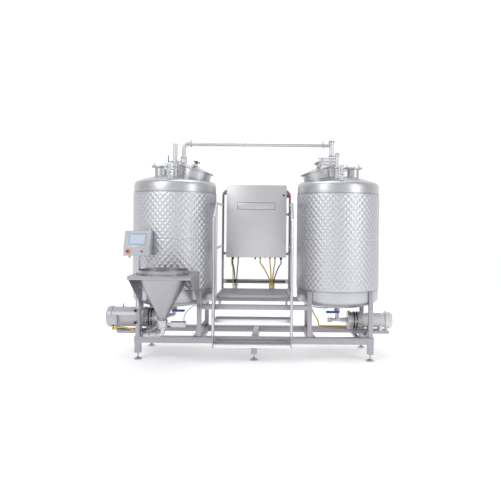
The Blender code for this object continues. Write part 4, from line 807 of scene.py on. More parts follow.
def build_platform():
    """Platform frame with its stair stringers; the grating and the two open treads are made further down."""
    half = PLATFORM_WIDTH / 2
    x0 = STAIR_X - half
    x1 = STAIR_X + half
    lip = 0.037
    solids = [box((x0, PLATFORM_FRONT, PLATFORM_TOP - lip), (x1, PLATFORM_FRONT + 0.025, PLATFORM_TOP)),
              box((x0, 0.385, PLATFORM_TOP - lip), (x1, 0.41, PLATFORM_TOP))]
    for x in (x0, x1 - 0.025):
        solids.append(box((x, PLATFORM_FRONT + 0.01, PLATFORM_TOP - lip + 0.001),
                            (x + 0.025, 0.40, PLATFORM_TOP + 0.012)))
    for y in (-0.10, 0.15):
        solids.append(box((x0 + 0.01, y - 0.012, PLATFORM_TOP - lip + 0.002),
                            (x1 - 0.01, y + 0.012, PLATFORM_TOP - 0.022)))
    for x in (x0 + 0.046, x1 - 0.046):
        solids.append(box((x - 0.015, 0.372, BEAM_TOP + GAP), (x + 0.015, 0.405, PLATFORM_TOP - 0.03)))
        solids.append(box((x - 0.015, -0.400, BEAM_TOP + GAP), (x + 0.015, -0.360, BEAM_TOP + 0.05)))
        solids.append(box((x - 0.012, -0.395, BEAM_TOP + 0.030), (x + 0.012, -0.28, BEAM_TOP + 0.055)))
        solids.append(box((x - 0.012, -0.300, BEAM_TOP + 0.035), (x + 0.012, -0.270, PLATFORM_TOP - 0.02)))
    for side in (-1, 1):
        x = STAIR_X + side * STRINGER_OFFSET
        outline = [(PLATFORM_FRONT + 0.06, PLATFORM_TOP - 0.005),
                   (PLATFORM_FRONT - 0.050, PLATFORM_TOP - 0.005),
                   (-0.455, 0.660), (STAIR_RAIL_Y + 0.022, STRINGER_FOOT),
                   (SECOND_TREAD_FRONT - 0.010, STRINGER_FOOT), (SECOND_TREAD_FRONT - 0.010, 0.195),
                   (SECOND_TREAD_FRONT + 0.10, 0.195), (-RAIL_Y - 0.033, 0.570), (-RAIL_Y - 0.033, 0.700),
                   (PLATFORM_FRONT + 0.06, PLATFORM_TOP - 0.085)]
        solids.append(plate(outline, x - STRINGER_WIDTH / 2, x + STRINGER_WIDTH / 2))
        solids.append(box((min(x, x - side * 0.02), PLATFORM_FRONT - 0.002, PLATFORM_TOP - 0.033),
                            (max(x, x - side * 0.02), PLATFORM_FRONT + 0.05, PLATFORM_TOP - 0.006)))
    show("platform_frame", solids)


def build_handrails():
    """Each rail: top and middle tubes from the cabinet frame, posts and a stair rail."""
    for side, hand in HANDS:
        x = STAIR_X + side * STRINGER_OFFSET
        rear = POST_Y - RAIL_TUBE_RADIUS - 0.001
        top = [(x, rear, HANDRAIL_TOP), (x, HANDRAIL_FRONT_Y + 0.02, HANDRAIL_TOP),
               (x, STAIR_RAIL_Y, HANDRAIL_TOP - 0.185), (x, STAIR_RAIL_Y, STRINGER_FOOT + GAP)]
        solids = [tube(rounded_path(top, 0.06), RAIL_TUBE_RADIUS, 8)]
        post = [(x, HANDRAIL_FRONT_Y, HANDRAIL_TOP - 0.008), (x, HANDRAIL_FRONT_Y, PLATFORM_TOP - 0.0047)]
        solids.append(tube(post, RAIL_TUBE_RADIUS - 0.001, 8))
        middle = [(x, rear, HANDRAIL_MIDDLE), (x, HANDRAIL_FRONT_Y, HANDRAIL_MIDDLE)]
        solids.append(tube(middle, RAIL_TUBE_RADIUS - 0.002, 8))
        show(f"handrail_{hand}", solids)


# ------------------------------------------------------ hopper and mixing line
def build_hopper():
    """Round hopper, the table that carries it, and its pneumatic outlet valve."""
    wall = 0.003
    slope = (HOPPER_RADIUS - HOPPER_OUTLET_RADIUS) / (HOPPER_RIM_BOTTOM - HOPPER_OUTLET_Z)
    throat = HOPPER_OUTLET_RADIUS
    foot = HOPPER_OUTLET_Z
    outline = [(throat, foot - 0.022), (throat + 0.010, foot - 0.022), (throat + 0.010, foot - 0.014),
               (throat + wall, foot - 0.010), (throat + wall, foot),
               (HOPPER_RADIUS, HOPPER_RIM_BOTTOM - wall * slope), (HOPPER_RADIUS, HOPPER_RIM_TOP - 0.008),
               (HOPPER_RADIUS + 0.006, HOPPER_RIM_TOP - 0.006), (HOPPER_RADIUS + 0.006, HOPPER_RIM_TOP),
               (HOPPER_RADIUS - wall, HOPPER_RIM_TOP), (HOPPER_RADIUS - wall, HOPPER_RIM_BOTTOM),
               (throat, foot)]
    hopper = turned(outline, HOPPER_SIDES, (HOPPER_X, HOPPER_Y, 0))
    seat = ring_outline(HOPPER_RADIUS - 0.002, HOPPER_RADIUS + 0.022, TABLE_TOP + GAP, TABLE_TOP + 0.006)
    collar = turned(seat, HOPPER_SIDES, (HOPPER_X, HOPPER_Y, 0))
    show("hopper", [hopper, collar])

    low = TABLE_TOP - TABLE_BAR
    back = TABLE_ARM_END
    leg_face = -RAIL_Y - LEG_SIZE / 2 - GAP
    solids = [box((TABLE_LEFT, TABLE_FRONT, low), (TABLE_RIGHT, TABLE_FRONT + TABLE_BAR, TABLE_TOP))]
    for x in (TABLE_LEFT + 0.001, TABLE_RIGHT - 0.041):
        solids.append(box((x, TABLE_FRONT + 0.01, low + 0.001), (x + 0.040, back, TABLE_TOP - 0.001)))
    solids.append(box((TABLE_LEFT + 0.01, -0.575, low + 0.002),
                      (TABLE_RIGHT - 0.01, -0.545, TABLE_TOP - 0.002)))
    solids.append(box((TABLE_LEFT + 0.005, TABLE_FRONT + 0.005, TABLE_TOP - 0.006),
                        (TABLE_RIGHT - 0.005, -0.550, TABLE_TOP - 0.0005)))
    for x in (TABLE_LEFT + 0.002, TABLE_RIGHT - 0.007):
        outline = [(TABLE_FRONT + 0.02, low + 0.01), (back, low + 0.01), (back, 0.74),
                   (leg_face, BEAM_TOP), (leg_face, 0.625), (leg_face - 0.030, 0.625)]
        solids.append(plate(outline, x, x + 0.005))
    for x0, x1 in ((-CORNER_X - 0.02, TABLE_LEFT + 0.005), (-LEG_INNER_X - 0.02, TABLE_RIGHT - 0.004)):
        solids.append(box((x0, leg_face - 0.006, 0.61), (x1, leg_face, BEAM_TOP - 0.002)))
    show("hopper_table", solids)

    top = HOPPER_OUTLET_Z - 0.022 - GAP
    low = top - VALVE_HEIGHT
    middle = (top + low) / 2
    place = (HOPPER_X, HOPPER_Y, middle)
    inner = HOPPER_OUTLET_RADIUS - 0.001
    body = [turned(ring_outline(inner, inner + 0.014, low, top), 14, (HOPPER_X, HOPPER_Y, 0))]
    body.append(rod(0.017, inner + 0.004, ACTUATOR_START + 0.004, 8, place, "X"))
    body.append(rod(0.0365, ACTUATOR_START, ACTUATOR_START + 0.174, 10, place, "X"))
    body.append(rod(0.0385, ACTUATOR_START + 0.160, ACTUATOR_START + 0.171, 10, place, "X"))
    show("hopper_valve_body", body)
    flap = [rod(inner - 0.0006, -0.003, 0.003, 14, place)]
    flap.append(rod(STEM_RADIUS, 0, 0.092, 8, place, "X"))
    show("hopper_valve_disc", flap)

    start = Vector((HOPPER_X, HOPPER_Y, low - GAP))
    route = [start, start + Vector((0, 0, -0.075)), (-1.30, -0.640, 0.352), (-1.345, -0.520, 0.352),
             (-1.250, PUMP_Y[-1] - 0.165, 0.400), (-1.250, PUMP_Y[-1] - 0.128, 0.418)]
    solids = [tube(rounded_path(route, 0.045), 0.0265, 8)]
    solids.append(rod(HOPPER_OUTLET_RADIUS + 0.010, -0.010, 0, 10, start))
    along = (Vector(route[2]) - Vector(route[1])).normalized()
    turn = Vector((0, 0, 1)).rotation_difference(along).to_matrix().to_4x4()
    for share in (0.30, 0.72):
        ring = rod(0.038, -0.008, 0.008, 10)
        spot = Vector(route[1]).lerp(Vector(route[2]), share)
        moved(ring, Matrix.Translation(spot) @ turn)
        solids.append(ring)
    show("mixing_pipe", solids)


# ------------------------------------------------------------ pumps and outlets
def build_pump(side, hand):
    """Pump casing, flanged motor with cowl, and the shaft with its impeller."""
    y = PUMP_Y[side]
    z = PUMP_Z[side]
    end = MOTOR_END[side]
    head_start = HEAD_START[side]
    head_end = HEAD_END[side]
    head_radius = HEAD_RADIUS[side]
    motor_radius = MOTOR_RADIUS[side]
    cowl_radius = COWL_RADIUS[side]
    cowl_length = COWL_LENGTH[side]
    bar_top = z - MOTOR_BAR_DROP[side]
    outward = math.copysign(1, end)
    place = (0, y, z)

    def bar(radius, start, stop, sides=14):
        return rod(radius, min(start, stop), max(start, stop), sides, place, "X")

    flange = head_start + outward * 0.034
    casing = [bar(head_radius + 0.018, head_start, flange, 16),
              bar(head_radius, flange - outward * 0.004, head_end, 14),
              bar(head_radius + 0.014, head_end - outward * 0.026, head_end, 14)]
    casing.append(bar(INLET_RADIUS + 0.004, head_start - outward * 0.020, head_start + outward * 0.01, 10))
    show(f"pump_casing_{hand}", casing)

    start = head_end + outward * GAP
    cowl = end - outward * cowl_length
    motor = [bar(motor_radius, start, cowl + outward * 0.02, 16)]
    dome = [(0, 0), (cowl_radius, 0), (cowl_radius, cowl_length - 0.030),
            (cowl_radius - 0.012, cowl_length - 0.010), (cowl_radius - 0.035, cowl_length), (0, cowl_length)]
    if side < 0:
        dome = [(radius, -height) for radius, height in dome]
    motor.append(turned(dome, 16, (cowl, y, z), "X"))
    if side < 0:
        motor.append(box((-1.826, y - motor_radius - 0.045, z - 0.075), (-1.740, y - 0.06, z + 0.040)))
    else:
        motor.append(box((1.56, y + 0.03, z - 0.045), (1.66, y + motor_radius + 0.050, z + 0.045)))
    for spot in (start + outward * 0.10, cowl - outward * 0.06):
        motor.append(box((spot - 0.018, y - 0.085, bar_top + GAP), (spot + 0.018, y + 0.085, z - 0.05)))
    lift_x = LIFTING_EYE_X[side]
    eye_low = z + motor_radius - 0.015
    eye_high = z + motor_radius + 0.040
    eye = [(lift_x, y - 0.014, eye_low), (lift_x, y - 0.014, eye_high),
           (lift_x, y + 0.014, eye_high), (lift_x, y + 0.014, eye_low)]
    motor.append(tube(rounded_path(eye, 0.012, 1), 0.006, 6))
    show(f"pump_motor_{hand}", motor)

    shaft = [bar(0.014, head_start + outward * 0.016, start + outward * 0.095, 8)]
    for blade in range(3):
        vane = box((head_start + outward * 0.042 - 0.020, -0.004, -head_radius + 0.030),
                     (head_start + outward * 0.042 + 0.020, 0.004, head_radius - 0.030))
        moved(vane, Matrix.Translation((0, y, z)) @ Matrix.Rotation(math.pi * blade / 3, 4, "X"))
        shaft.append(vane)
    show(f"pump_shaft_{hand}", shaft)


def build_suction_line(side, hand):
    """Butterfly valve under the tank, the elbow to the pump, and the blue lever."""
    x = side * TANK_X
    top = OUTLET_BOTTOM - GAP
    low = top - OUTLET_VALVE_HEIGHT
    pump_x = SUCTION_END_X[side]
    y = PUMP_Y[side]
    z = PUMP_Z[side]
    middle = (x, 0, (top + low) / 2)
    inner = OUTLET_RADIUS - 0.002
    solids = [turned(ring_outline(inner, inner + 0.016, low, top), 14, (x, 0, 0))]
    solids.append(rod(0.012, inner + 0.002, 0.062, 8, middle, "Y"))
    moved(solids[-1], Matrix.Translation(middle) @ Matrix.Rotation(math.pi, 4, "Z")
                              @ Matrix.Translation(-Vector(middle)))
    corners = [(x, 0, low + 0.002), (x, 0, z), (pump_x - side * 0.002, y, z)]
    bend = 0.045
    if side < 0:
        turn_x = x - 0.072
        corners = [(x, 0, low + 0.002), (x, 0, z), (turn_x, 0, z), (turn_x, y, z), (pump_x + 0.002, y, z)]
        bend = 0.033
    solids.append(tube(rounded_path(corners, bend, 3), OUTLET_RADIUS, 8))
    ring_x = pump_x - side * GAP
    for offset in (0, 0.030):
        middle_x = ring_x - side * (offset + 0.004)
        solids.append(rod(OUTLET_RADIUS + 0.012, -0.004, 0.004, 10, (middle_x, y, z), "X"))
    if side > 0:
        solids.append(rod(0.021, -0.117, 0.007, 10, (x, 0, z), "X"))
        solids.append(rod(0.034, -0.075, -0.067, 10, (x, 0, z), "X"))
        solids.append(rod(0.026, -0.031, 0.029, 8, (x - 0.0975, 0, z)))
    show(f"suction_line_{hand}", solids)
    flap = [rod(inner - 0.0006, -0.0025, 0.0025, 10, middle)]
    flap.append(rod(STEM_RADIUS, -0.080, 0, 8, middle, "Y"))
    z_mid = middle[2]
    near, far = sorted((x - side * 0.150, x + side * 0.016))
    flap.append(box((near, -0.090, z_mid - 0.012), (far, -0.074, z_mid + 0.012)))
    show(f"outlet_lever_{hand}", flap)


# --------------------------------------------------------------- operator panel
def build_operator_panel():
    """Height-adjustable mast, desk-shaped panel, stop button and push button."""
    top = HMI_BOTTOM - GAP
    mast = [rod(MAST_RADIUS, SOCKET_BOTTOM + 0.13, top, 10, (MAST_X, MAST_Y, 0)),
            rod(0.040, top - 0.008, top, 10, (MAST_X, MAST_Y, 0))]
    show("panel_mast", mast)
    left = HMI_X - HMI_WIDTH / 2
    right = HMI_X + HMI_WIDTH / 2
    rear = MAST_Y + 0.032
    face = rear - HMI_DEPTH
    side_view = [(face, HMI_BOTTOM), (rear, HMI_BOTTOM), (rear, HMI_TOP), (rear - 0.065, HMI_TOP),
                 (face, HMI_BOTTOM + 0.110)]
    gland = rod(0.012, HMI_BOTTOM - 0.030, HMI_BOTTOM + 0.004, 8, (left + 0.045, MAST_Y, 0))
    show("panel_box", [plate(side_view, left, right), gland])
    stop = [rod(0.008, -0.014, 0.016, 8, (PANEL_STOP_X, face, PANEL_BUTTON_Z), "Y"),
            rod(0.019, -0.030, -0.012, 10, (PANEL_STOP_X, face, PANEL_BUTTON_Z), "Y")]
    show("panel_stop_button", stop)
    button = [rod(0.008, -0.006, 0.016, 8, (PANEL_BUTTON_X, face, PANEL_BUTTON_Z), "Y"),
              rod(0.012, -0.012, -0.0055, 10, (PANEL_BUTTON_X, face, PANEL_BUTTON_Z), "Y")]
    show("panel_push_button", button)


build_skid()
build_feet()
for side, hand in HANDS:
    build_manway(side, hand)
    build_blind_flange(side, hand)
    build_dome_valve(side, hand)
    build_pump(side, hand)
    build_suction_line(side, hand)
build_top_valves()
build_crossover()
build_cabinet()
build_platform()
build_handrails()
build_hopper()
build_operator_panel()


# ---------------------------------------------------------------------- tanks
SHELL_RADIUS = 0.530
JACKET_RADIUS = 0.538
BOTTOM_HEAD_DEPTH = 0.130
WALL = 0.005                     # tank wall
OPENING_RADIUS = 0.2325          # the shell is open inside this radius of the manway's axis
OPENING_DEPTH = -0.32            # and down to this far along it from the rim


def dish(radius, edge_z, depth, steps=14):
    """Profile of a half-ellipse head from the edge to near the axis."""
    return [(radius * math.cos(k * math.pi / 2 / steps), edge_z + depth * math.sin(k * math.pi / 2 / steps))
            for k in range(steps + 1)]


def dished_head(radius, edge_z):
    """Profile of the top head: a tight knuckle at the shell, then a shallow crown."""
    knots = [(radius, edge_z - 0.02, 0), (radius, edge_z, 0), (radius - 0.012, edge_z + 0.034, 0),
             (radius - 0.045, edge_z + 0.058, 0), (radius - 0.150, edge_z + 0.092, 0),
             (radius - 0.265, edge_z + 0.123, 0), (radius - 0.400, edge_z + 0.144, 0), (0, edge_z + 0.150, 0)]
    return [(min(radius, p.x), p.y) for p in smooth(knots, 12)][12:]


def pillow_jacket(x):
    """A thin sheet pressed into pillows by staggered rows of spot welds."""
    made = bmesh.new()
    low = 0.872
    high = 2.088
    around = 450                 # points round the sheet
    up = 300                     # rows of points
    pillows_around = 45
    pillow_height = 0.0405
    dent_depth = 0.0062          # at a spot weld
    dent_fullness = 0.7          # under 1 makes the pillows fuller
    seam_z = 1.504               # level seam near the middle
    seam_depth = 0.0036
    seam_width = 0.006
    end_depth = 0.007            # where the sheet closes on the shell at its two ends
    end_reach = 0.010
    deepest = 0.0068
    set_back = 0.0004            # keeps the crests inside the CAD's own jacket
    rings = []
    for j in range(up + 1):
        z = low + (high - low) * j / up
        ring = []
        for i in range(around):
            a = 2 * math.pi * i / around
            row = (z - low) / pillow_height / 2
            column = i / around * pillows_around
            ridge = abs(math.sin(math.pi * (column + row)) * math.sin(math.pi * (column - row)))
            dent = dent_depth * (1.0 - ridge ** dent_fullness)
            seam = seam_depth * math.exp(-((z - seam_z) / seam_width) ** 2)
            end = end_depth * (math.exp(-(z - low) / end_reach) + math.exp(-(high - z) / end_reach))
            r = JACKET_RADIUS - set_back - min(deepest, dent + seam + end)
            ring.append(made.verts.new((x + r * math.cos(a), r * math.sin(a), z)))
        rings.append(ring)
    for a, b in zip(rings, rings[1:]):
        for k in range(around):
            n = (k + 1) % around
            made.faces.new((a[k], a[n], b[n], b[k]))
    return made


def opened(shape, side):
    """The shell with the faces that lie wholly inside the manway neck taken away."""
    back = rim_matrix(side).inverted()
    inside = []
    for face in shape.faces:
        spots = [back @ vert.co for vert in face.verts]
        if all(math.hypot(spot.x, spot.y) < OPENING_RADIUS and spot.z > OPENING_DEPTH for spot in spots):
            inside.append(face)
    bmesh.ops.delete(shape, geom=inside, context="FACES")
    return shape


for side, hand in HANDS:
    x = side * TANK_X
    bottom = dish(SHELL_RADIUS, SHELL_BOTTOM, BOTTOM_HEAD_DEPTH)[:-1]
    shell = [(0.0, SHELL_BOTTOM - BOTTOM_HEAD_DEPTH)]
    shell += [(r, 2 * SHELL_BOTTOM - z) for r, z in reversed(bottom)]
    shell += [(SHELL_RADIUS, 0.86), (SHELL_RADIUS, 2.10)]
    shell += dished_head(SHELL_RADIUS, SHELL_TOP)
    outer = opened(lathe(shell, 192, (x, 0, 0), sharp=False), side)
    lining = [(max(0.0, r - WALL), z - WALL if z > 2.0 else z + WALL) for r, z in shell]
    lining = opened(lathe(lining, 96, (x, 0, 0), sharp=False), side)
    neck = lathe([(0.026, 0.5855), (0.026, 0.64)], 32, (x, 0, 0))
    ferrule = disc(0.037, 0.5855, 0.5915, 32, (x, 0, 0))
    welds = [ring_shape(SHELL_RADIUS - 0.0008, 0.0022, (x, 0, z), sides=96, round_sides=8)
             for z in (SHELL_BOTTOM, SHELL_TOP)]
    rest = [outer, lining, neck, ferrule] + welds
    collar = lathe([(0.226, -0.200), (0.232, -0.200), (0.232, -0.014), (0.2565, -0.010), (0.258, -0.006),
                    (0.2565, 0.0), (0.228, 0.0), (0.226, -0.004), (0.226, -0.200)], 96)
    rest.append(on_rim(side, collar))
    blind_x = x + side * BLIND_OFFSET
    rest.append(lathe([(0.078, 2.26), (0.078, 2.420), (0.082, BLIND_TOP - 0.012), (0.117, BLIND_TOP - 0.011),
                       (0.118, BLIND_TOP - 0.009), (0.118, BLIND_TOP - 0.001), (0.0, BLIND_TOP)], 64,
                      (blind_x, 0, 0)))
    for spot_x, spot_y, radius, top in ((x - side * TOP_VALVE_SHIFT, TOP_VALVE_Y, PIPE_RADIUS, TOP_STUB_TOP),
                                        (RISER_X[side], RISER_Y, PIPE_RADIUS, TOP_STUB_TOP),
                                        (x, DOME_VALVE_Y, DOME_STUB_RADIUS, DOME_STUB_TOP)):
        rest.append(lathe([(radius, 2.2), (radius, top - 0.014), (radius + 0.008, top - 0.008),
                           (radius + 0.008, top - 0.001), (0.0, top)], 32, (spot_x, spot_y, 0)))
    for ear in (-1, 1):
        outline = [(0.225, -0.070), (HINGE_BACK, -0.014), (HINGE_BACK + 0.014, 0.0),
                   (HINGE_BACK + 0.014, HINGE_RISE + 0.012), (HINGE_BACK - 0.014, HINGE_RISE + 0.012),
                   (HINGE_BACK - 0.014, -0.004), (0.225, -0.004)]
        middle = ear * HINGE_EAR
        rest.append(on_rim(side, plate(outline, middle - 0.005, middle + 0.005)))
    piece(f"tank shell {hand}", rest, TANK, "plant", (f"tank_vessel_{hand}",))
    piece(f"pillow jacket {hand}", [pillow_jacket(x)], JACKET, "plant",
          (f"tank_jacket_{hand}",), 80.0)
    bands = [lathe([(SHELL_RADIUS, z - 0.008), (SHELL_RADIUS + 0.0028, z - 0.006),
                    (SHELL_RADIUS + 0.0028, z + 0.006), (SHELL_RADIUS, z + 0.008)], 96, (x, 0, 0))
             for z in (0.868, 2.094)]
    piece(f"jacket edge bands {hand}", bands, BAND)


# ------------------------------------------------------------ cables and ties
# One row for each cable: loom, gland place, gland length, cable radius, place at the tie, finish
LOOM_CABLES = (
    ("left", -0.322, 0.034, 0.0085, -0.012, CORD_BLACK),
    ("left", -0.322, 0.034, 0.0075, -0.026, CORD_YELLOW),
    ("left", -0.247, 0.016, 0.0085, 0.012, CORD_GREY),
    ("right", 0.051, 0.022, 0.0085, -0.030, CORD_YELLOW),
    ("right", 0.183, 0.022, 0.0085, -0.010, CORD_YELLOW),
    ("right", 0.250, 0.022, 0.0085, 0.010, CORD_YELLOW),
    ("right", 0.332, 0.034, 0.0080, 0.030, CORD_BLUE),
)


def loom_route(tie, offset, length, shift):
    """Where one cable runs, from its gland down to the duct below the platform."""
    x = CABINET_X + offset
    start = CABINET_BOTTOM - length - GAP
    knots = [(x, GLAND_Y, start), (x, GLAND_Y, start - 0.03), (x, GLAND_Y, start - 0.055),
             (x * 0.65 + tie * 0.35, 0.30, 1.08), (tie + shift, 0.400, 0.92), (tie + shift, 0.424, 0.84),
             (tie + shift, 0.424, 0.748)]
    return smooth(knots, 8)


shown_looms = set()
for number, (hand, offset, length, radius, shift, finish) in enumerate(LOOM_CABLES):
    # The left yellow cable leaves the same gland as the black one, so it runs a little beside it.
    dodge = -0.009 if finish is CORD_YELLOW and hand == "left" else 0.0
    path = [p + Vector((dodge * 1.4, dodge, 0)) for p in loom_route(LOOM_TIE[hand], offset, length, shift)]
    # The first cable of each loom stands for the CAD's loom.
    stands_for = () if hand in shown_looms else (f"cable_loom_{hand}",)
    shown_looms.add(hand)
    piece(f"loom cable {hand} {number}", [tube(path, radius, 14)], finish, "plant",
          stands_for, 60.0)
for hand, tie in LOOM_TIE.items():
    band = [box((tie - 0.046, 0.4150, z), (tie + 0.046, 0.4340, z + 0.007), 0.003) for z in (0.778, 0.842)]
    piece(f"loom ties {hand}", band, CORD_YELLOW)

# Black glands under the cabinet, with their hexagon nuts.
glands = []
for offset, radius, length in GLANDS:
    x = CABINET_X + offset
    glands.append(disc(radius * 0.86, CABINET_BOTTOM - length, CABINET_BOTTOM - 0.001, 28, (x, GLAND_Y, 0)))
    glands.append(disc(radius, CABINET_BOTTOM - 0.011, CABINET_BOTTOM - 0.0005, 6, (x, GLAND_Y, 0)))
    glands.append(disc(radius * 0.95, CABINET_BOTTOM - length * 0.8, CABINET_BOTTOM - length * 0.45, 12,
                       (x, GLAND_Y, 0)))
piece("cabinet glands", glands, BLACK_PLASTIC_AND_SHADE)

# --------------------------------------------------------- cabinet small parts
door_left = CABINET_X - CABINET_WIDTH / 2
door_right = CABINET_X + CABINET_WIDTH / 2
blank = box((-0.262, CABINET_FRONT - 0.0022, 1.890), (0.242, CABINET_FRONT + 0.001, 1.984), 0.004)
piece("cabinet blank plate", [blank], PLATE, "door")
edge = 0.0045
rim = [box((-0.262, CABINET_FRONT - 0.0034, z), (0.242, CABINET_FRONT - 0.0015, z + edge), 0.0008)
       for z in (1.8905, 1.9790)]
rim += [box((x, CABINET_FRONT - 0.0034, 1.8905), (x + edge, CABINET_FRONT - 0.0015, 1.9835), 0.0008)
        for x in (-0.262, 0.2375)]
piece("cabinet blank plate rim", rim, DARK_ZINC_AND_SHADE, "door")
escutcheon = disc(0.014, -0.0035, 0.0, 32, (door_right - 0.037, CABINET_FRONT, LOCK_Z), "Y")
piece("door lock ring", [escutcheon], BLACK_PLASTIC_AND_SHADE, "door")
yellow = [box((door_right + 0.0002, SWITCH_Y - 0.036, SWITCH_Z - 0.040),
              (door_right + 0.0038, SWITCH_Y + 0.036, SWITCH_Z + 0.040), 0.002)]
piece("main switch yellow plate", yellow, YELLOW)
ring = [disc(0.021, 0.0002, 0.012, 36, (door_right, SWITCH_Y, STOP_Z), "X")]
piece("cabinet stop collar", ring, YELLOW)
hinges = []
for z in (1.400, 2.060):
    hinges.append(disc(0.0045, z - 0.030, z + 0.030, 20, (door_left + 0.006, CABINET_BACK + 0.006, 0)))
piece("cabinet rear hinges", hinges, CAST)

# Cable duct across the frame with its white end caps; its slot is a thin dark strip of painted shade.
left_post = STAIR_X - CABINET_POST_OFFSET
right_post = STAIR_X + CABINET_POST_OFFSET
duct = [box((left_post + 0.020, POST_Y - 0.0135, 0.893),
            (right_post - 0.020, POST_Y - 0.0122, 0.905), 0.0004)]
piece("cable duct slot", duct, DARK_ZINC_AND_SHADE)
caps = [box((x - 0.016, POST_Y - 0.0160, 0.872), (x + 0.016, POST_Y - 0.0122, 0.922), 0.0015)
        for x in (left_post + 0.036, right_post - 0.036)]
piece("cable duct caps", caps, WHITE)

# --------------------------------------------------------------- operator panel
panel_left = HMI_X - HMI_WIDTH / 2
panel_right = HMI_X + HMI_WIDTH / 2
panel_rear = MAST_Y + 0.032
panel_face = panel_rear - HMI_DEPTH
slope_low = Vector((0, panel_face, HMI_BOTTOM + 0.110))
slope_high = Vector((0, panel_rear - 0.065, HMI_TOP))
slope = (slope_high - slope_low).normalized()
normal = Vector((0, -slope.z, slope.y))


def on_slope(across, up, lift):
    """A point on the panel's sloping face, lifted off it a little."""
    spot = slope_low + slope * up + normal * lift
    return Vector((HMI_X + across, spot.y, spot.z))


def slab_on_slope(half_width, low, high, back, front):
    """A thin slab lying on the sloping face."""
    made = bmesh.new()
    corners = []
    for lift in (back, front):
        for across, up in ((-half_width, low), (half_width, low), (half_width, high), (-half_width, high)):
            corners.append(made.verts.new(on_slope(across, up, lift)))
    for face in ((0, 1, 2, 3), (4, 5, 6, 7), (0, 1, 5, 4), (1, 2, 6, 5), (2, 3, 7, 6), (3, 0, 4, 7)):
        made.faces.new([corners[k] for k in face])
    bmesh.ops.recalc_face_normals(made, faces=made.faces[:])
    bmesh.ops.bevel(made, geom=made.edges[:], offset=0.0006, segments=1, affect="EDGES")
    return made


piece("panel screen surround", [slab_on_slope(0.108, 0.018, 0.172, -0.001, 0.0020)], SCREEN_FRAME,
      "panel")
piece("panel screen", [slab_on_slope(0.090, 0.036, 0.156, 0.0, 0.0030)], SCREEN, "panel")
stop_ring = disc(0.0235, -0.0110, -0.0005, 36, (PANEL_STOP_X, panel_face, PANEL_BUTTON_Z), "Y")
piece("panel stop ring", [stop_ring], YELLOW, "panel")
button_ring = disc(0.0150, -0.0045, -0.0005, 36, (PANEL_BUTTON_X, panel_face, PANEL_BUTTON_Z), "Y")
piece("panel button ring", [button_ring], CAST, "panel")
screws = [disc(0.0035, -0.0015, 0.001, 16, (x, panel_face, HMI_BOTTOM + 0.012), "Y")
          for x in (panel_left + 0.014, panel_right - 0.014)]
piece("panel screws", screws, CAST, "panel")


def star_knob(spot, direction, radius):
    """A five-lobed black grip on a short stem."""
    move = pointing(spot, direction)
    shapes = [moved(disc(radius * 0.55, 0.010, 0.026, 28), move),
              moved(disc(radius * 0.25, 0.0, 0.014, 20), move)]
    for across, up in spots_around(5, radius * 0.62):
        shapes.append(moved(disc(radius * 0.34, 0.011, 0.025, 20, (across, up, 0)), move))
    return shapes


knobs = []
for z in (0.635, 0.490):
    knobs += star_knob((MAST_X - 0.020, MAST_Y - SOCKET_RADIUS + 0.002, z), (-0.3, -1, 0), 0.021)
piece("mast clamp knobs", knobs, BLACK_PLASTIC_AND_SHADE)


# --------------------------------------------- clamps, wing nuts and fasteners
def clamp(spot, direction, radius, wing=0.0):
    """A two-part pipe clamp: its hoop and the lug for its swing bolt; wing nuts are made on their own."""
    move = pointing(spot, direction)
    hoop = lathe([(radius - 0.003, -0.007), (radius, -0.0085), (radius + 0.0035, -0.0045),
                  (radius + 0.0035, 0.0045), (radius, 0.0085), (radius - 0.003, 0.007),
                  (radius - 0.003, -0.007)], 48)
    lug = box((radius - 0.002, -0.008, -0.007), (radius + 0.013, 0.008, 0.007), 0.002)
    twist = Matrix.Rotation(wing, 4, "Z")
    return [moved(hoop, move), moved(lug, move @ twist)]


def wing_nut(spot, direction, size):
    """A small nut with two raised ears."""
    move = pointing(spot, direction)
    shapes = [moved(disc(size * 0.28, -size * 0.3, size * 0.5, 16), move)]
    for ear in (-1, 1):
        blade = box((ear * size * 0.15 if ear > 0 else -size, -size * 0.10, 0.0),
                    (size if ear > 0 else ear * size * 0.15, size * 0.10, size * 0.7), size * 0.08)
        shapes.append(moved(blade, move))
    return shapes


clamps = []
nuts = []
left_x = RISER_X[-1]
right_x = RISER_X[1]
for x, z in ((left_x, TOP_STUB_TOP), (left_x, 2.518), (left_x, 2.606),
             (right_x, TOP_STUB_TOP), (right_x, 2.642), (right_x, CROSSOVER_Z + 0.050)):
    clamps += clamp((x, RISER_Y, z), (0, 0, 1), PIPE_RADIUS + 0.0135, -1.9)
    nuts += wing_nut((x - 0.014, RISER_Y - PIPE_RADIUS - 0.026, z), (-0.2, -0.7, 0.2), 0.013)
for x in (LEFT_CLAMP_X, RIGHT_CLAMP_X):
    clamps += clamp((x, RISER_Y, CROSSOVER_Z), (1, 0, 0), PIPE_RADIUS + 0.0135, 2.2)
    nuts += wing_nut((x, RISER_Y - 0.020, CROSSOVER_Z + 0.036), (0, -0.2, 1), 0.013)
for side, hand in HANDS:
    clamps += clamp((side * TANK_X, DOME_VALVE_Y, DOME_STUB_TOP), (0, 0, 1), 0.031, -1.2)
    clamps += clamp((side * (TANK_X - TOP_VALVE_SHIFT), TOP_VALVE_Y, TOP_STUB_TOP), (0, 0, 1), 0.038, -1.2)
piece("pipe clamps", clamps, PIPE)
piece("clamp wing nuts", nuts, DARK_ZINC_AND_SHADE)

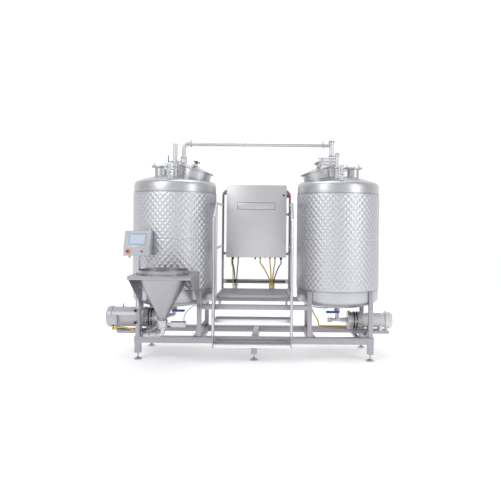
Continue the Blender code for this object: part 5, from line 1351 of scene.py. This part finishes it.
for side, hand in HANDS:
    # Ring of bolts round the small cover.
    bolts = []
    x = side * (TANK_X + BLIND_OFFSET)
    for across, back in spots_around(8, 0.104, 0.5):
        bolts.append(disc(0.0065, BLIND_TOP + 0.0115, BLIND_TOP + 0.019, 6, (x + across, back, 0)))
    piece(f"cover bolts {hand}", bolts, CAST)
    # Rubber seal under the manway lid.
    gasket = ring_shape(0.2535, 0.0022, (0, 0, 0.0026), sides=80, round_sides=8)
    piece(f"manway seal {hand}", [on_rim(side, gasket)], RUBBER, f"manway_{hand}")
    # Black star grip over the spindle.
    grip = [on_rim(side, disc(0.0205, 0.0820, 0.1185, 36))]
    for arm, (across, back) in enumerate(spots_around(5, GRIP_REACH)):
        grip.append(on_rim(side, disc(0.0115, 0.0960, 0.1120, 24, (across, back, 0))))
        turn = Matrix.Rotation(2 * math.pi * arm / 5, 4, "Z")
        web = moved(box((0.0, -0.0075, 0.0975), (GRIP_REACH, 0.0075, 0.1105), 0.002), turn)
        grip.append(on_rim(side, web))
    piece(f"manway star grip {hand}", grip, BLACK_PLASTIC_AND_SHADE, f"knob_{hand}")

# ---------------------------------------------------------------- grating bars
half = PLATFORM_WIDTH / 2
grate_x0 = STAIR_X - half + 0.026
grate_x1 = STAIR_X + half - 0.026
bars = []
count = 44
for k in range(count + 1):
    x = grate_x0 + (grate_x1 - grate_x0) * k / count
    bars.append(box((x - 0.0012, PLATFORM_FRONT + 0.026, PLATFORM_TOP - 0.0208),
                    (x + 0.0012, 0.384, PLATFORM_TOP - 0.0012), 0.0))
rows = 24
for k in range(rows + 1):
    y = PLATFORM_FRONT + 0.0272 + (0.3828 - PLATFORM_FRONT - 0.0272) * k / rows
    bars.append(box((grate_x0, y - 0.0011, PLATFORM_TOP - 0.0150),
                    (grate_x1, y + 0.0011, PLATFORM_TOP - 0.0014), 0.0))
piece("grating bars", bars, GRATE, "plant", ("platform_grating",))

reach = STRINGER_OFFSET - STRINGER_WIDTH / 2 - GAP
for number, front in ((1, FIRST_TREAD_FRONT), (2, SECOND_TREAD_FRONT)):
    top = PLATFORM_TOP - number * STEP_RISE
    label = {1: "stair_tread_upper", 2: "stair_tread_lower"}[number]
    lip = [box((STAIR_X - reach, front, top - TREAD_LIP),
               (STAIR_X + reach, front + 0.0038, top - 0.014), 0.0012)]
    for end in (-1, 1):
        edge_x = STAIR_X + end * reach
        low_x, high_x = sorted((edge_x, edge_x - end * 0.004))
        lip.append(box((low_x, front, top - 0.030), (high_x, front + TREAD_DEPTH, top - 0.001), 0.001))
    lip.append(box((STAIR_X - reach, front + TREAD_DEPTH - 0.004, top - 0.030),
                   (STAIR_X + reach, front + TREAD_DEPTH, top - 0.001), 0.001))
    piece(f"tread frame {number}", lip, LIP, "plant", (label,))
    teeth = []
    count = 58
    for k in range(count + 1):
        x = STAIR_X - reach + 0.003 + (2 * reach - 0.006) * k / count
        outline = [(front + 0.0005, top - 0.026)]
        waves = 10
        for step in range(waves + 1):
            y = front + 0.0005 + (TREAD_DEPTH - 0.006) * step / waves
            outline.append((y, top - 0.001 - (0.006 if step % 2 else 0.0)))
        outline.append((front + TREAD_DEPTH - 0.0055, top - 0.026))
        teeth.append(plate(outline, x - 0.0012, x + 0.0012, "X", 0.0))
    for k in range(7):
        y = front + 0.008 + (TREAD_DEPTH - 0.020) * k / 6
        teeth.append(box((STAIR_X - reach + 0.002, y - 0.001, top - 0.018),
                         (STAIR_X + reach - 0.002, y + 0.001, top - 0.007), 0.0))
    piece(f"tread teeth {number}", teeth, GRATE)


# --------------------------------------------------- pump and motor small parts
def bolt_ring(x, y, z, radius, size, outward, number):
    """Hexagon heads set in a ring round a shaft that lies along X."""
    low, high = sorted((x, x + outward * size * 0.8))
    heads = []
    for across, up in spots_around(number, radius, 0.5):
        heads.append(disc(size, low, high, 6, (0, y + across, z + up), "X"))
    return heads


for side, hand in HANDS:
    y = PUMP_Y[side]
    z = PUMP_Z[side]
    head_start = HEAD_START[side]
    head_end = HEAD_END[side]
    head_radius = HEAD_RADIUS[side]
    motor_radius = MOTOR_RADIUS[side]
    end = MOTOR_END[side]
    cowl = end - side * COWL_LENGTH[side]
    middle = (head_start + head_end) / 2
    bolts = bolt_ring(head_start + side * 0.034, y, z, head_radius + 0.0085, 0.0070, side, 12)
    bolts += bolt_ring(head_end - side * 0.026, y, z, head_radius + 0.005, 0.0060, -side, 8)
    piece(f"pump bolts {hand}", bolts, DARK_ZINC_AND_SHADE)
    ribs = []
    for k in range(4):
        x = middle + (k - 1.5) * 0.020
        ribs.append(disc(head_radius + 0.0045, x - 0.0025, x + 0.0025, 72, (0, y, z), "X"))
    plug = disc(0.011, 0.0, 0.020, 6, (middle, y - head_radius - 0.016, z), "Y")
    piece(f"pump casing ribs {hand}", ribs + [plug], CAST)
    bands = []
    for x in (head_end + side * 0.012, cowl - side * 0.004):
        low, high = sorted((x, x + side * 0.009))
        bands.append(disc(motor_radius + 0.0045, low, high, 80, (0, y, z), "X"))
    body_low, body_high = sorted((head_end + side * 0.05, cowl - side * 0.03))
    if side > 0:
        for k in range(22):
            a = 2 * math.pi * k / 22
            fin = box((body_low, -0.0016, motor_radius - 0.003),
                      (body_high, 0.0016, motor_radius + 0.008), 0.0006)
            bands.append(moved(fin, Matrix.Translation((0, y, z)) @ Matrix.Rotation(a, 4, "X")))
    piece(f"motor bands {hand}", bands, MOTOR_PALE if side > 0 else MOTOR)
    # Black discs on the fan cover stand for its holes: painted shade inside them.
    slots = []
    low, high = sorted((end - side * 0.001, end - side * 0.0002))
    for ring_radius, number in ((0.035, 8), (0.062, 14), (0.086, 20)):
        for across, up in spots_around(number, ring_radius):
            slots.append(disc(0.0052, low, high, 12, (0, y + across, z + up), "X", 0.0002))
    piece(f"fan cover holes {hand}", slots, BLACK_PLASTIC_AND_SHADE)
    if side < 0:
        lid = [box((-1.829, y - motor_radius - 0.0475, z - 0.078),
                   (-1.737, y - motor_radius - 0.0435, z + 0.043), 0.002)]
        for x in (-1.818, -1.748):
            for height in (z - 0.068, z + 0.033):
                lid.append(disc(0.0035, y - motor_radius - 0.0500, y - motor_radius - 0.0470, 12,
                                (x, 0, height), "Y"))
        gland = [disc(0.011, z - 0.098, z - 0.074, 20, (-1.785, y - motor_radius - 0.020, 0)),
                 disc(0.014, z - 0.086, z - 0.076, 6, (-1.785, y - motor_radius - 0.020, 0))]
    else:
        back = y + motor_radius + 0.050
        lid = [box((1.557, back - 0.002, z - 0.048), (1.663, back + 0.002, z + 0.048), 0.002)]
        gland = [disc(0.011, z - 0.066, z - 0.044, 20, (1.61, back - 0.030, 0)),
                 disc(0.014, z - 0.056, z - 0.046, 6, (1.61, back - 0.030, 0))]
    piece(f"terminal box lid {hand}", lid, MOTOR)
    piece(f"terminal box gland {hand}", gland, BLACK_PLASTIC_AND_SHADE)

# Motor cables, each held at the terminal box and at the frame or the casing.
LEFT_BOX = Vector((-1.785, -0.296, 0.394))
left_yellow = [LEFT_BOX, (-1.797, -0.300, 0.350), (-1.765, -0.310, 0.362), (-1.700, -0.316, 0.382),
               (-1.620, -0.316, 0.378), (-1.485, -0.316, 0.338), (-1.380, -0.310, 0.322),
               (-1.300, -0.290, 0.350), (-1.262, -0.272, 0.400)]
left_dark = [LEFT_BOX, (-1.775, -0.290, 0.366), (-1.700, -0.270, 0.352), (-1.560, -0.270, 0.345),
             (-1.420, -0.270, 0.335), (-1.345, -0.262, 0.395)]
piece("motor cable left yellow", [tube(smooth(left_yellow), 0.0095, 16)], CORD_YELLOW)
piece("motor cable left blue", [tube(smooth(left_dark), 0.0070, 16)], CORD_BLUE)
right_yellow = [(0.735, 0.345, 0.640), (0.752, 0.350, 0.560), (0.790, 0.352, 0.470), (0.848, 0.352, 0.370),
                (0.856, 0.352, 0.318), (0.905, 0.352, 0.301), (1.160, 0.352, 0.300), (1.270, 0.335, 0.303),
                (1.360, 0.300, 0.305), (1.480, 0.240, 0.315), (1.575, 0.150, 0.335), (1.610, 0.108, 0.382)]
piece("motor cable right yellow", [tube(smooth(right_yellow), 0.0090, 16)], CORD_YELLOW)
hose = [(-0.800, -0.862, 0.562), (-0.798, -0.850, 0.620), (-0.775, -0.740, 0.670), (-0.740, -0.520, 0.690),
        (-0.712, -0.411, 0.670)]
piece("air hose left", [tube(smooth(hose), 0.0045, 12)], BLUE)
right_hose = [(1.060, -0.030, 0.600), (1.020, -0.110, 0.640), (0.930, -0.180, 0.630), (0.840, -0.260, 0.640),
              (0.730, -0.352, 0.670)]
piece("air hose right", [tube(smooth(right_hose), 0.0055, 12)], BLUE)

# Rolled edge of the hopper, the bolts that hold its seat, and the clamps of its valve.
lip_ring = ring_shape(HOPPER_RADIUS + 0.002, 0.0042, (HOPPER_X, HOPPER_Y, HOPPER_RIM_TOP - 0.0045), sides=96)
piece("hopper rolled rim", [lip_ring], PIPE)
seat_bolts = []
for across, back in spots_around(12, HOPPER_RADIUS + 0.013, 0.5):
    seat_bolts.append(disc(0.0055, TABLE_TOP + 0.0055, TABLE_TOP + 0.0120, 6,
                           (HOPPER_X + across, HOPPER_Y + back, 0)))
piece("hopper seat bolts", seat_bolts, DARK_ZINC_AND_SHADE)
valve_low = HOPPER_OUTLET_Z - 0.022 - GAP - VALVE_HEIGHT
clamps = clamp((HOPPER_X, HOPPER_Y, HOPPER_OUTLET_Z - 0.020), (0, 0, 1), 0.054, -1.2)
clamps += clamp((HOPPER_X, HOPPER_Y, valve_low - 0.002), (0, 0, 1), 0.054, -1.8)
piece("hopper valve clamps", clamps, PIPE)

# Blue plastic grips over the flat levers of the two outlet valves.
for side, hand in HANDS:
    x = side * TANK_X
    height = OUTLET_BOTTOM - GAP - OUTLET_VALVE_HEIGHT / 2
    near, far = sorted((x - side * 0.150, x - side * 0.030))
    grip = [box((near, -0.0960, height - 0.0155), (far, -0.0690, height + 0.0155), 0.009, 3)]
    hub = [disc(0.0165, -0.0960, -0.0700, 32, (x, 0, height), "Y")]
    piece(f"outlet grip {hand}", grip + hub, BLUE, f"outlet_{hand}")

# Bright rings round each pump head with dark bands of painted shade in the gaps between them, and a blank
# yellow plate on the right one.
for side, hand in HANDS:
    place = (0, PUMP_Y[side], PUMP_Z[side])
    start = GUARD_START[side]
    radius = HEAD_RADIUS[side]
    rings = []
    for k in range(3):
        low, high = sorted((start + side * k * GUARD_PITCH, start + side * (k * GUARD_PITCH + 0.007)))
        rings.append(disc(radius + 0.0095, low, high, 72, place, "X"))
    piece(f"pump clamp rings {hand}", rings, PIPE)
    # Dark bands of painted shade in the gaps between the rings.
    gaps = []
    for k in range(2):
        low, high = sorted((start + side * (k * GUARD_PITCH + 0.012),
                            start + side * (k * GUARD_PITCH + 0.028)))
        gaps.append(disc(radius + 0.0062, low, high, 72, place, "X"))
    piece(f"pump guard gaps {hand}", gaps, DARK_ZINC_AND_SHADE)
plate_block = box((1.300, PUMP_Y[1] - 0.1165, PUMP_Z[1] - 0.012),
                  (1.332, PUMP_Y[1] - 0.1120, PUMP_Z[1] + 0.010), 0.001)
piece("pump blank yellow plate", [plate_block], YELLOW)


# ------------------------------------------------------- camera, light, floor
camera_data = bpy.data.cameras.new("camera")
camera = bpy.data.objects.new("camera", camera_data)
bpy.context.scene.collection.objects.link(camera)
camera_data.lens = 40.24
camera_data.sensor_width = 36.0
camera_data.shift_x = -0.055
camera_data.shift_y = -0.057
camera.location = (0.339, -7.064, 1.734)
camera.rotation_mode = "QUATERNION"
level_turn = Matrix.Rotation(math.pi / 2, 4, "X") @ Matrix.Rotation(math.radians(0.55), 4, "Z")
camera.rotation_quaternion = level_turn.to_quaternion()
bpy.context.scene.camera = camera
bpy.context.scene.view_settings.view_transform = "Standard"

world = bpy.data.worlds.new("studio")
bpy.context.scene.world = world
world.use_nodes = True
world_nodes = world.node_tree.nodes
world_links = world.node_tree.links
backdrop = world_nodes["Background"]
way = world_nodes.new("ShaderNodeTexCoord")
parts_of_way = world_nodes.new("ShaderNodeSeparateXYZ")
fade = world_nodes.new("ShaderNodeValToRGB")
fit = world_nodes.new("ShaderNodeMapRange")
fit.inputs["From Min"].default_value = -1.0
fit.inputs["From Max"].default_value = 1.0
fade.color_ramp.elements[0].position = 0.0
fade.color_ramp.elements[0].color = (0.72, 0.73, 0.76, 1.0)
side_tone = fade.color_ramp.elements.new(0.5)
side_tone.color = (0.56, 0.56, 0.58, 1.0)
fade.color_ramp.elements[2].position = 0.82
fade.color_ramp.elements[2].color = (1.0, 1.0, 1.0, 1.0)
world_links.new(way.outputs["Generated"], parts_of_way.inputs["Vector"])
world_links.new(parts_of_way.outputs["Y"], fit.inputs["Value"])
world_links.new(fit.outputs["Result"], fade.inputs["Fac"])
world_links.new(fade.outputs["Color"], backdrop.inputs["Color"])
backdrop.inputs["Strength"].default_value = 1.05


def soft_light(name, spot, aim, size, power):
    """A large soft lamp pointing at the plant."""
    lamp = bpy.data.lights.new(name, "AREA")
    lamp.shape = "RECTANGLE"
    lamp.size = size[0]
    lamp.size_y = size[1]
    lamp.energy = power
    holder = bpy.data.objects.new(name, lamp)
    bpy.context.scene.collection.objects.link(holder)
    holder.location = spot
    holder.rotation_mode = "QUATERNION"
    holder.rotation_quaternion = (Vector(aim) - Vector(spot)).to_track_quat("-Z", "Y")


soft_light("key light", (-3.6, -4.2, 4.6), (0, 0, 1.2), (2.6, 3.4), 90)
soft_light("fill light", (4.4, -3.4, 3.2), (0, 0, 1.2), (2.0, 3.4), 50)
soft_light("top light", (0.0, 0.4, 6.0), (0, 0.3, 1.0), (3.5, 2.5), 60)

floor_mesh = bpy.data.meshes.new("floor")
floor_mesh.from_pydata([(-30, -30, 0), (30, -30, 0), (30, 30, 0), (-30, 30, 0)], [], [(0, 1, 2, 3)])
floor = bpy.data.objects.new("floor", floor_mesh)
bpy.context.scene.collection.objects.link(floor)
floor_finish = surface("pale floor", (0.97, 0.97, 0.97), 0.0, 0.9, (0.4, 0.4, 0.4), 0.005, 0.0)
glow = floor_finish.node_tree.nodes["Principled BSDF"]
glow.inputs["Emission Color"].default_value = (1.0, 1.0, 1.0, 1.0)
glow.inputs["Emission Strength"].default_value = 0.26
floor_mesh.materials.append(floor_finish)
